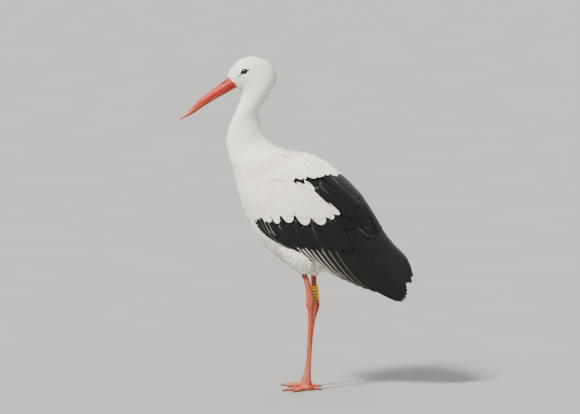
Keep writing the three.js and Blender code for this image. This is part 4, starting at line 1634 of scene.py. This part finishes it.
@dataclass
class Wing:
    """A folded wing: white coverts and scapulars over black quills, drawn on the left side."""

    form: Form = field(default_factory=lambda: Form(WINGS))
    covert_area: tuple[Point, ...] = (
        (-152, 604), (-92, 600), (-46, 590), (-5, 578), (24, 550), (46, 546), (70, 524), (80, 510),
        (30, 507), (-16, 511), (-50, 509), (-80, 508), (-112, 512), (-128, 530),
    )
    mantle_area: tuple[Point, ...] = (
        (-22, 690), (-62, 652), (-112, 628), (-150, 606), (-92, 598), (-46, 602), (-8, 608),
        (27, 612), (57, 618), (80, 624), (92, 660), (20, 690),
    )
    front_edge: tuple[Point, ...] = (
        (399, -18), (415, -55), (429, -81), (465, -99), (520, -124), (602, -146), (622, -112),
        (644, -62), (674, -22),
    )
    tuck_reach: float = 42.0
    ridge_place: float = 0.03
    ridge_tone: float = 0.1

    def build(self, palette: Palette) -> None:
        """Makes both wings' pieces.

        Args:
            palette: the finishes.
        """
        made = [
            (self._flight(), palette.brown, "black_feathers", ["flight_{}"]),
            (self._dark(), palette.dark, "black_feathers", ["scapulars_{}"]),
            (self._coverts(), palette.cream, "white_feathers", ["coverts_{}"]),
            (self._mantle(), palette.cream, "white_feathers", []),
        ]
        for coat, finish, slot, nodes in made:
            for side in Side:
                name = f"{coat.name}_{side.letter}"
                names = [n.format(side.letter) for n in nodes]
                as_piece(name, coat.mesh(name, side is Side.RIGHT), finish, names)

    def _lay_row(self, coat: Coat, y: Array, z: Array, slope: Array, length: Array, lay: Lay,
                 bow: float = 0.0, **looks: Array | float) -> None:
        """Lays large feathers by their side view.

        Args:
            coat: the piece they join.
            y: the tips' distances along the bird.
            z: the tips' heights.
            slope: degrees below level at the tips.
            length: the feathers' lengths.
            lay: how they lie.
            bow: how far their middles are pushed round the form.
            looks: their widths, lifts, marks and tones.
        """
        fall = np.radians(slope)
        tip = self.form.locate(y, z, Side.LEFT)
        root = self.form.locate(y - np.cos(fall) * length, z + np.sin(fall) * length, Side.LEFT)
        coat.grow(self.form, coat.route(root, tip, bow), lay=lay, **looks)

    def _lay_tier(self, coat: Coat, tier: Tier) -> None:
        """Lays one tier of large feathers."""
        y, z, slope, length, width, lift, mark, tone = map(tier.spread, (
            tier.y, tier.z, tier.slope, tier.length, tier.width, tier.lift, tier.mark, tier.tone,
        ))
        if tier.cycle:
            mark = np.resize(tier.cycle, tier.count)
        self._lay_row(coat, y, z, slope, length, tier.lay, tier.bow,
                      width=width, lift=lift, mark=mark, tone=tone)

    def _flight(self) -> Coat:
        """Primaries, secondaries and the quills hidden under them."""
        coat = Coat("flight_feathers", Vane(22, 12, Outline.QUILL, 1.5), 21)
        for tier in FLIGHT_TIERS:
            self._lay_tier(coat, tier)
        return coat

    def _dark(self) -> Coat:
        """Greater coverts and the long black scapulars in their tiers."""
        coat = Coat("dark_coverts", Vane(16, 10, Outline.BLUNT, 1.4), 22)
        for tier in DARK_BEDS:
            self._lay_tier(coat, tier)
        # the two wings meet along the ridge of the back: a bed, then two long quills over it
        beds, ends = np.arange(3.0, 8.6, 0.7), np.array([6.9, 8.95])
        self._ridge(coat, beds, beds + 2.3, 52.0, Lay(-2.0, -0.4, 0.8, 0.0, ragged=0), -1.8)
        self._ridge(coat, ends - 2.8, ends, 44.0, Lay(-2.5, 0.4, 0.5, 0.04, ragged=0), 0.6)
        for tier in DARK_TIERS:
            self._lay_tier(coat, tier)
        return coat

    def _ridge(self, coat: Coat, first: Array, last: Array, width: float, lay: Lay,
               lift: float) -> None:
        """Lays feathers along the ridge of the back, from and to places along the form."""
        middle = np.full(len(first), self.ridge_place)
        lines = coat.route((first, middle), (last, middle))
        coat.grow(self.form, lines, width, lay, tone=self.ridge_tone, lift=lift)

    def _tuck(self, y: Array, z: Array, over: float) -> Array:
        """Lowers feathers near the wing's front edge so that the shoulder runs into the breast."""
        edge = np.interp(z, *zip(*self.front_edge))
        return -over * np.clip(1 - (y - edge) / self.tuck_reach, 0, 1) ** 1.3

    def _lobes(self, coat: Coat, rows: Sequence[tuple], length: float, lift: float) -> None:
        """Lays a row of broad feathers, each by its tip, slope and width, in overlapping order."""
        y, z, slope, width = np.array(rows, float).T
        lifts = lift + 0.1 * (np.arange(len(rows)) % 2) + self._tuck(y, z, 3.0)
        self._lay_row(coat, y, z, slope, np.full(len(rows), length), Lay(-1.6, 0.0, 0.5, 0.0, ragged=0),
                      width=width, lift=lifts, mark=0.0, tone=0.8)

    def _field(self, coat: Coat, area: Sequence[Point], turn: tuple[float, float],
               slopes: Sequence[Point], sizes: Sequence[float], lay: Lay) -> None:
        """Fills an area with small feathers in rows.

        Args:
            coat: the piece they join.
            area: the side view of the area that their roots fill.
            turn: the places round the form between which they stand, above 1 past the ridge.
            slopes: their slopes below level, as (distance along the bird, degrees) pairs.
            sizes: length and width at the bird's front, then at its back.
            lay: how they lie.
        """
        ends = (-120, 90)
        u, a = self.form.scatter(coat.rng, 6.6, 5.6, 0.0, 9.0)
        root = self.form.point(u, a)
        low, high = turn
        keep = within(area, root[:, 1], root[:, 2]) & ((a - low) % 1.0 < high - low)
        keep &= root[:, 0] > -3
        u, a, root = u[keep], a[keep], root[keep]
        size = coat.rng.uniform(0.85, 1.15, len(u))

        def lie(_along: Array, _around: Array, point: Array) -> Array:
            slope = np.radians(np.interp(point[:, 1], *zip(*slopes)))
            return np.stack([0 * slope, np.cos(slope), -np.sin(slope)], axis=1)

        lines = coat.trace(self.form, u, a, np.interp(root[:, 1], ends, sizes[0::2]) * size, lie)
        width = np.interp(root[:, 1], ends, sizes[1::2]) * size
        coat.grow(self.form, lines, width, lay, lift=self._tuck(root[:, 1], root[:, 2], 3.5))

    def _coverts(self) -> Coat:
        """Lesser coverts in overlapping rows, ending in the broad lobes of the last row."""
        coat = Coat("white_coverts", Vane(10, 6, Outline.ROUND, 1.4), 23, 0.72)
        self._lay_tier(coat, COVERT_BED)
        self._lobes(coat, (
            (-96, 470, 80, 16), (-86, 467, 78, 18), (-74, 466, 76, 24), (-51, 464, 73, 27),
            (-16, 468, 68, 38), (30, 462, 62, 40), (75, 463, 54, 40), (101, 477, 46, 24),
            (117, 488, 40, 18),
        ), 62, -0.5)
        self._lobes(coat, (
            (-12, 566, 45, 22), (4, 553, 45, 22), (18, 542, 44, 22), (34, 543, 46, 20),
            (50, 539, 44, 22), (66, 524, 44, 22), (82, 508, 44, 22), (97, 497, 42, 20),
            (112, 489, 38, 16),
        ), 50, -0.1)
        # white fluff in the notch between the coverts and the scapulars
        self._lobes(coat, ((36, 557, 60, 9), (43, 560, 52, 9), (48, 556, 48, 10), (31, 562, 66, 8)), 26, 0.6)
        self._field(coat, self.covert_area, (0.0, 0.5),
                    ((-140, 84), (-80, 76), (0, 64), (60, 50), (115, 38)),
                    (28, 10, 40, 13), Lay(-1.2, 0.1, 0.22, 0.0, ragged=0.05))
        return coat

    def _mantle(self) -> Coat:
        """White scapulars and mantle, rounded, over the shoulders and the front of the back."""
        coat = Coat("mantle", Vane(10, 6, Outline.ROUND, 1.3), 24, 0.68)
        self._lobes(coat, (
            (-34, 590, 28, 26), (-10, 590, 28, 26), (24, 592, 26, 30), (56, 592, 25, 30),
            (88, 600, 25, 28), (112, 592, 27, 22), (130, 598, 31, 18), (140, 604, 34, 14),
        ), 62, 0.1)
        # long narrow feathers run back over the black ones along the ridge
        self._lobes(coat, (
            (40, 634, 26, 8), (62, 628, 29, 9), (84, 620, 31, 8), (104, 612, 33, 9), (124, 603, 35, 8),
            (66, 612, 27, 9), (92, 606, 29, 8), (114, 600, 32, 9), (20, 622, 26, 9), (46, 610, 26, 8),
        ), 74, 1.3)
        self._field(coat, self.mantle_area, (-0.01, 0.5),
                    ((-140, 52), (-60, 36), (20, 28), (90, 26)),
                    (28, 11, 46, 15), Lay(-1.2, 0.5, 0.25, 0.0, ragged=0.06))
        return coat


# ---- Legs ----

LIMBS = {
    Side.LEFT: stations(
        (10.5, 321, 27, 322, 6.2), (16.8, 307, 33, 308, 6.4), (22.5, 283, 40.5, 284, 7.4),
        (25, 265, 46, 265, 9), (24.5, 249, 49, 247, 10.4), (24.2, 236, 49, 235, 10.2),
        (28.5, 223, 47, 223, 8.2), (30, 209, 45.6, 209, 6.4), (29, 165, 42, 165, 5.6),
        (27, 112, 40.2, 112, 5.7), (24, 66, 39.2, 66, 6.2), (20, 40, 38.6, 40, 7.2),
        (14, 20, 40, 20, 9.6), (12, 8, 41, 8, 10),
    ),
    Side.RIGHT: stations(
        (38.8, 310.5, 54.2, 311.5, 6), (39, 298, 54.2, 299, 6.2), (40.5, 272, 55.5, 273, 6.4),
        (43, 251, 59, 251.5, 7), (43.6, 243, 60.6, 242.6, 7.8), (39.2, 232, 63, 231, 10.2),
        (38.4, 222, 62.2, 221, 10.2), (40.2, 208, 58.2, 208, 8), (39.4, 195, 53.6, 195, 6.4),
        (34, 158, 46.8, 158, 5.6), (29.5, 112, 42.4, 112, 5.7), (24.5, 66, 39.4, 66, 6.2),
        (19, 40, 37.8, 40, 7.2), (12, 20, 38, 20, 9.6), (10, 8, 39, 8, 10),
    ),
}


@dataclass
class Leg:
    """A bare leg and foot in one scaly skin, with its claws."""

    side: Side
    foot_y: float
    turn: float
    joint: float
    centre_x: float = 40.0
    toes: tuple[tuple[str, float, float], ...] = (
        ("inner", 46, -30), ("middle", 64, 6), ("outer", 56, 40), ("hind", 34, 176),
    )
    root_radius: float = 6.4
    tip_radius: float = 4.2
    claw_length: float = 10.0
    claw_rows: tuple[tuple[float, ...], ...] = (
        # run along the claw, its top, its underside, half its width
        (0.0, 6.2, 0.4, 3.3), (0.35, 5.9, 0.4, 2.9), (0.72, 4.0, 0.4, 1.9), (1.0, 1.7, 0.5, 0.7),
    )
    overlap: float = 0.6
    palm: tuple[float, float, float] = (14.5, 19.0, 13.0)
    web_reach: float = 30.0
    web_spread: float = 34.0
    voxel: float = 0.85
    scute: float = 2.6
    scute_relief: float = 0.42

    def build(self, palette: Palette) -> None:
        """Makes the leg's skin and its four claws.

        Args:
            palette: the finishes.
        """
        letter = self.side.letter
        form = Form(LIMBS[self.side], self.side.value * self.centre_x)
        shapes = [tube(form, 0, form.last, 130, 28, self._relief), self._palm()]
        nodes = [f"{part}_{letter}" for part in ("shank", "ankle", "tarsus", "palm")]
        for name, length, heading in self.toes:
            shapes.append(self._toe(length, heading))
            nodes.append(f"toe_{name}_{letter}")
            claw = finish_mesh(self._claw(length, heading), f"claw_{name}_{letter}")
            as_piece(f"horn_claw_{name}_{letter}", claw, palette.claw, [f"claw_{name}_{letter}"])
        mesh = fuse(shapes, f"leg_skin_{letter}", self.voxel, 2)
        self._scutes(mesh)
        as_piece(f"leg_skin_{letter}", mesh, palette.leg, nodes)

    def _relief(self, along: Array, around: Array) -> Array:
        """Knobs and creases of the ankle joint, and the flat tendon ridges along the tarsus."""
        joint = np.exp(-(((along - self.joint) / 1.7) ** 2))
        knob = np.sin(along * 9.4 + 3 * np.sin(around * 12.6)) * np.cos(around * 25.1 + along * 3.1)
        crease = -np.abs(np.sin(along * 7.9 + np.cos(around * 6.28))) ** 8
        tendon = 0
        for at, width, sign in ((0.36, 0.05, 1), (0.28, 0.035, -1), (0.64, 0.05, 1), (0.72, 0.035, -1)):
            tendon = tendon + sign * 0.7 * np.exp(-((np.abs(around - at) / width) ** 2))
        shaft = np.clip((along - self.joint - 2) / 1.5, 0, 1)
        return joint * (0.75 * knob + 0.8 * crease) + tendon * shaft - 0.1

    def _set_down(self, shape: bmesh.types.BMesh, heading: float) -> bmesh.types.BMesh:
        """Turns a shape drawn along -Y to its heading, puts it at the foot and flattens its sole."""
        angle = math.radians(heading + self.turn) * self.side.value
        bmesh.ops.rotate(shape, cent=(0, 0, 0), matrix=Matrix.Rotation(angle, 3, "Z"), verts=shape.verts)
        move = (self.side.value * self.centre_x, self.foot_y, 0)
        bmesh.ops.translate(shape, vec=move, verts=shape.verts)
        for vert in shape.verts:
            vert.co.z = max(vert.co.z, 0.0)
        return shape

    def _palm(self) -> bmesh.types.BMesh:
        """The ball of the foot, and the short web between the front toes."""
        shape = bmesh.new()
        wide, long, high = self.palm
        bmesh.ops.create_uvsphere(shape, u_segments=36, v_segments=20, radius=1.0)
        bmesh.ops.scale(shape, vec=(wide, long, high), verts=shape.verts)
        bmesh.ops.translate(shape, vec=(0, 0, high * 0.42), verts=shape.verts)
        web = bmesh.ops.create_uvsphere(shape, u_segments=48, v_segments=14, radius=1.0)["verts"]
        for vert in web:
            x, y, z = vert.co
            reach = math.hypot(x, y)
            angle = math.atan2(x, -y)
            limit = math.radians(self.web_spread)
            inside = max(-limit, min(limit, angle))
            scallop = 1 - 0.16 * math.cos(inside / limit * 1.5 * math.pi) ** 2
            span = self.web_reach * scallop * reach if abs(angle) <= limit else 8 * reach
            vert.co = (span * math.sin(angle), -span * math.cos(angle), 2.0 + 2.2 * z)
        return self._set_down(shape, 0)

    def _toe(self, length: float, heading: float) -> bmesh.types.BMesh:
        """A toe with pads under its joints, creased across the top between them."""
        pads, rows = 3, []
        for run in np.linspace(0, 1, 4 * pads + 1):
            swell = 1 + 0.1 * math.cos(run * pads * 2 * math.pi)
            radius = (self.root_radius + (self.tip_radius - self.root_radius) * run) * swell
            y = -4 - run * (length - 4)
            rows.append(Station((y, 1.75 * radius), (y, -0.35 * radius), radius * 0.98))
        shape = tube(Form(rows), 0, len(rows) - 1, 40, 24)
        return self._set_down(shape, heading)

    def _claw(self, length: float, heading: float) -> bmesh.types.BMesh:
        """A blunt, slightly curved claw."""
        start, reach = self.overlap - length, self.claw_length + self.overlap
        rows = [
            Station((start - reach * run, top), (start - reach * run, under), half)
            for run, top, under, half in self.claw_rows
        ]
        return self._set_down(tube(Form(rows), 0, len(rows) - 1, 16, 20), heading)

    def _scutes(self, mesh: bpy.types.Mesh) -> None:
        """Raises small many-sided scutes out of the skin, as rounded cells round seeded centres."""
        rng = np.random.default_rng(31)
        co, normal = vectors_of(mesh, "co") / MM, vectors_of(mesh, "normal")
        low, high = co.min(0) - 4, co.max(0) + 4
        cell = np.array([self.scute, self.scute, self.scute * 1.15])
        shape = np.ceil((high - low) / cell).astype(int) + 2
        centres = rng.uniform(0.15, 0.85, (*shape, 3))
        where = (co - low) / cell
        base = np.floor(where).astype(int)
        best = np.full((2, len(co)), 1e9)
        for shift in np.ndindex(3, 3, 3):
            at = base + np.array(shift) - 1
            inside = np.clip(at, 0, shape - 1)
            gap = np.linalg.norm(at + centres[tuple(inside.T)] - where, axis=1)
            second = np.minimum(best[1], np.maximum(best[0], gap))
            best = np.stack([np.minimum(best[0], gap), second])
        dome = np.clip((best[1] - best[0]) / 0.45, 0, 1) ** 0.5
        # the soles stay flat on the floor
        sole = np.clip((co[:, 2] - 0.5) / 2, 0, 1)
        co += normal * (self.scute_relief * (dome - 0.75) * sole)[:, None]
        co[:, 2] = np.maximum(co[:, 2], 0)
        mesh.vertices.foreach_set("co", (co * MM).astype(np.float32).ravel())
        mesh.update()


@dataclass
class LegRing:
    """The tall laminate ring on the right shank, with plain digits standing along it."""

    radius: float = 11.2
    bore: float = 9.7
    height: float = 38.0
    rim_ease: float = 0.4
    # the places along the limb between which it hangs
    span: tuple[float, float] = (1.7, 3.8)
    centre_x: float = -40.0
    digits: str = "1234"
    digit_pitch: float = 8.772
    type_size: float = 15.05
    type_weight: float = 0.28
    type_depth: float = 0.25
    type_turn: float = -6.0

    def build(self, palette: Palette) -> None:
        """Makes the ring and its digits.

        Args:
            palette: the finishes.
        """
        limb = Form(LIMBS[Side.RIGHT], self.centre_x)
        top, foot = ((limb.lead.at(place) + limb.trail.at(place)) / 2 for place in self.span)
        axis = Vector((0, *(top - foot))).normalized()
        upright = Vector((0, 0, 1)).rotation_difference(axis).to_matrix().to_4x4()
        place = Matrix.Translation((self.centre_x, *((top + foot) / 2))) @ upright
        glyphs = [
            self._glyph(digit, i - (len(self.digits) - 1) / 2, face)
            for face in range(2) for i, digit in enumerate(self.digits)
        ]
        for name, shape, finish, smooth, nodes in (
            ("ring_band", self._band(), palette.ring, True, ["leg_ring"]),
            ("ring_digits", merge(glyphs), palette.ring_ink, False, []),
        ):
            bmesh.ops.transform(shape, matrix=place, verts=shape.verts)
            as_piece(name, finish_mesh(shape, name, smooth), finish, nodes)

    def _band(self) -> bmesh.types.BMesh:
        """The band: a tube with eased rims."""
        shape = bmesh.new()
        half = self.height / 2
        corners = ((self.bore, -half), (self.radius, -half), (self.radius, half), (self.bore, half))
        verts = [shape.verts.new((r, 0, z)) for r, z in corners]
        edges = [shape.edges.new((verts[i], verts[(i + 1) % 4])) for i in range(4)]
        bmesh.ops.spin(shape, geom=verts + edges, cent=(0, 0, 0), axis=(0, 0, 1),
                       angle=2 * math.pi, steps=96, use_merge=True)
        bmesh.ops.remove_doubles(shape, verts=shape.verts, dist=1e-4)
        rims = [e for e in shape.edges if e.is_manifold and e.calc_face_angle(0) > 0.8]
        bmesh.ops.bevel(shape, geom=rims, offset=self.rim_ease, segments=3, profile=0.5,
                        affect="EDGES", material=-1)
        return shape

    def _glyph(self, digit: str, row: float, face: int) -> bmesh.types.BMesh:
        """One digit wrapped on the ring, lying on its side so that the row reads from the top down.

        Args:
            digit: the digit.
            row: its place in the row, counted from the ring's middle.
            face: 0 for the ring's left side, 1 for its right side.

        Returns:
            The digit's body.
        """
        text = bpy.data.curves.new("digit", "FONT")
        text.body, text.size, text.offset = digit, self.type_size, self.type_weight
        text.align_x, text.align_y = "CENTER", "CENTER"
        text.extrude, text.resolution_u = self.type_depth, 4
        holder = add_object("digit", text)
        flat = bpy.data.meshes.new_from_object(holder)
        bpy.data.objects.remove(holder)
        bpy.data.curves.remove(text)
        glyph = bmesh.new()
        glyph.from_mesh(flat)
        bpy.data.meshes.remove(flat)
        bmesh.ops.remove_doubles(glyph, verts=glyph.verts, dist=1e-4)
        longest = [e for e in glyph.edges if e.calc_length() > 2.0]
        bmesh.ops.subdivide_edges(glyph, edges=longest, cuts=3, use_grid_fill=True)
        bmesh.ops.triangulate(glyph, faces=glyph.faces)
        x, y, z = places_of(glyph).T
        turn = y / self.radius + face * math.pi + math.radians(self.type_turn)
        reach = self.radius + z - 0.05
        return move_to(glyph, np.column_stack([
            reach * np.cos(turn), reach * np.sin(turn), -row * self.digit_pitch - x,
        ]))


def main() -> None:
    """Builds the studio and the bird, and reports each piece."""
    logging.basicConfig(level=logging.INFO, format="%(message)s")
    palette = Palette()
    Studio().build(palette)
    skin = BodySkin()
    skin.build(palette)
    face = Face(skin.form)
    face.build(palette)
    BodyCoat(skin.form, face).build(palette)
    Wing().build(palette)
    Leg(Side.LEFT, 27, 14, 4.6).build(palette)
    Leg(Side.RIGHT, 25, 10, 5.6).build(palette)
    LegRing().build(palette)


if __name__ == "__main__":
    main()
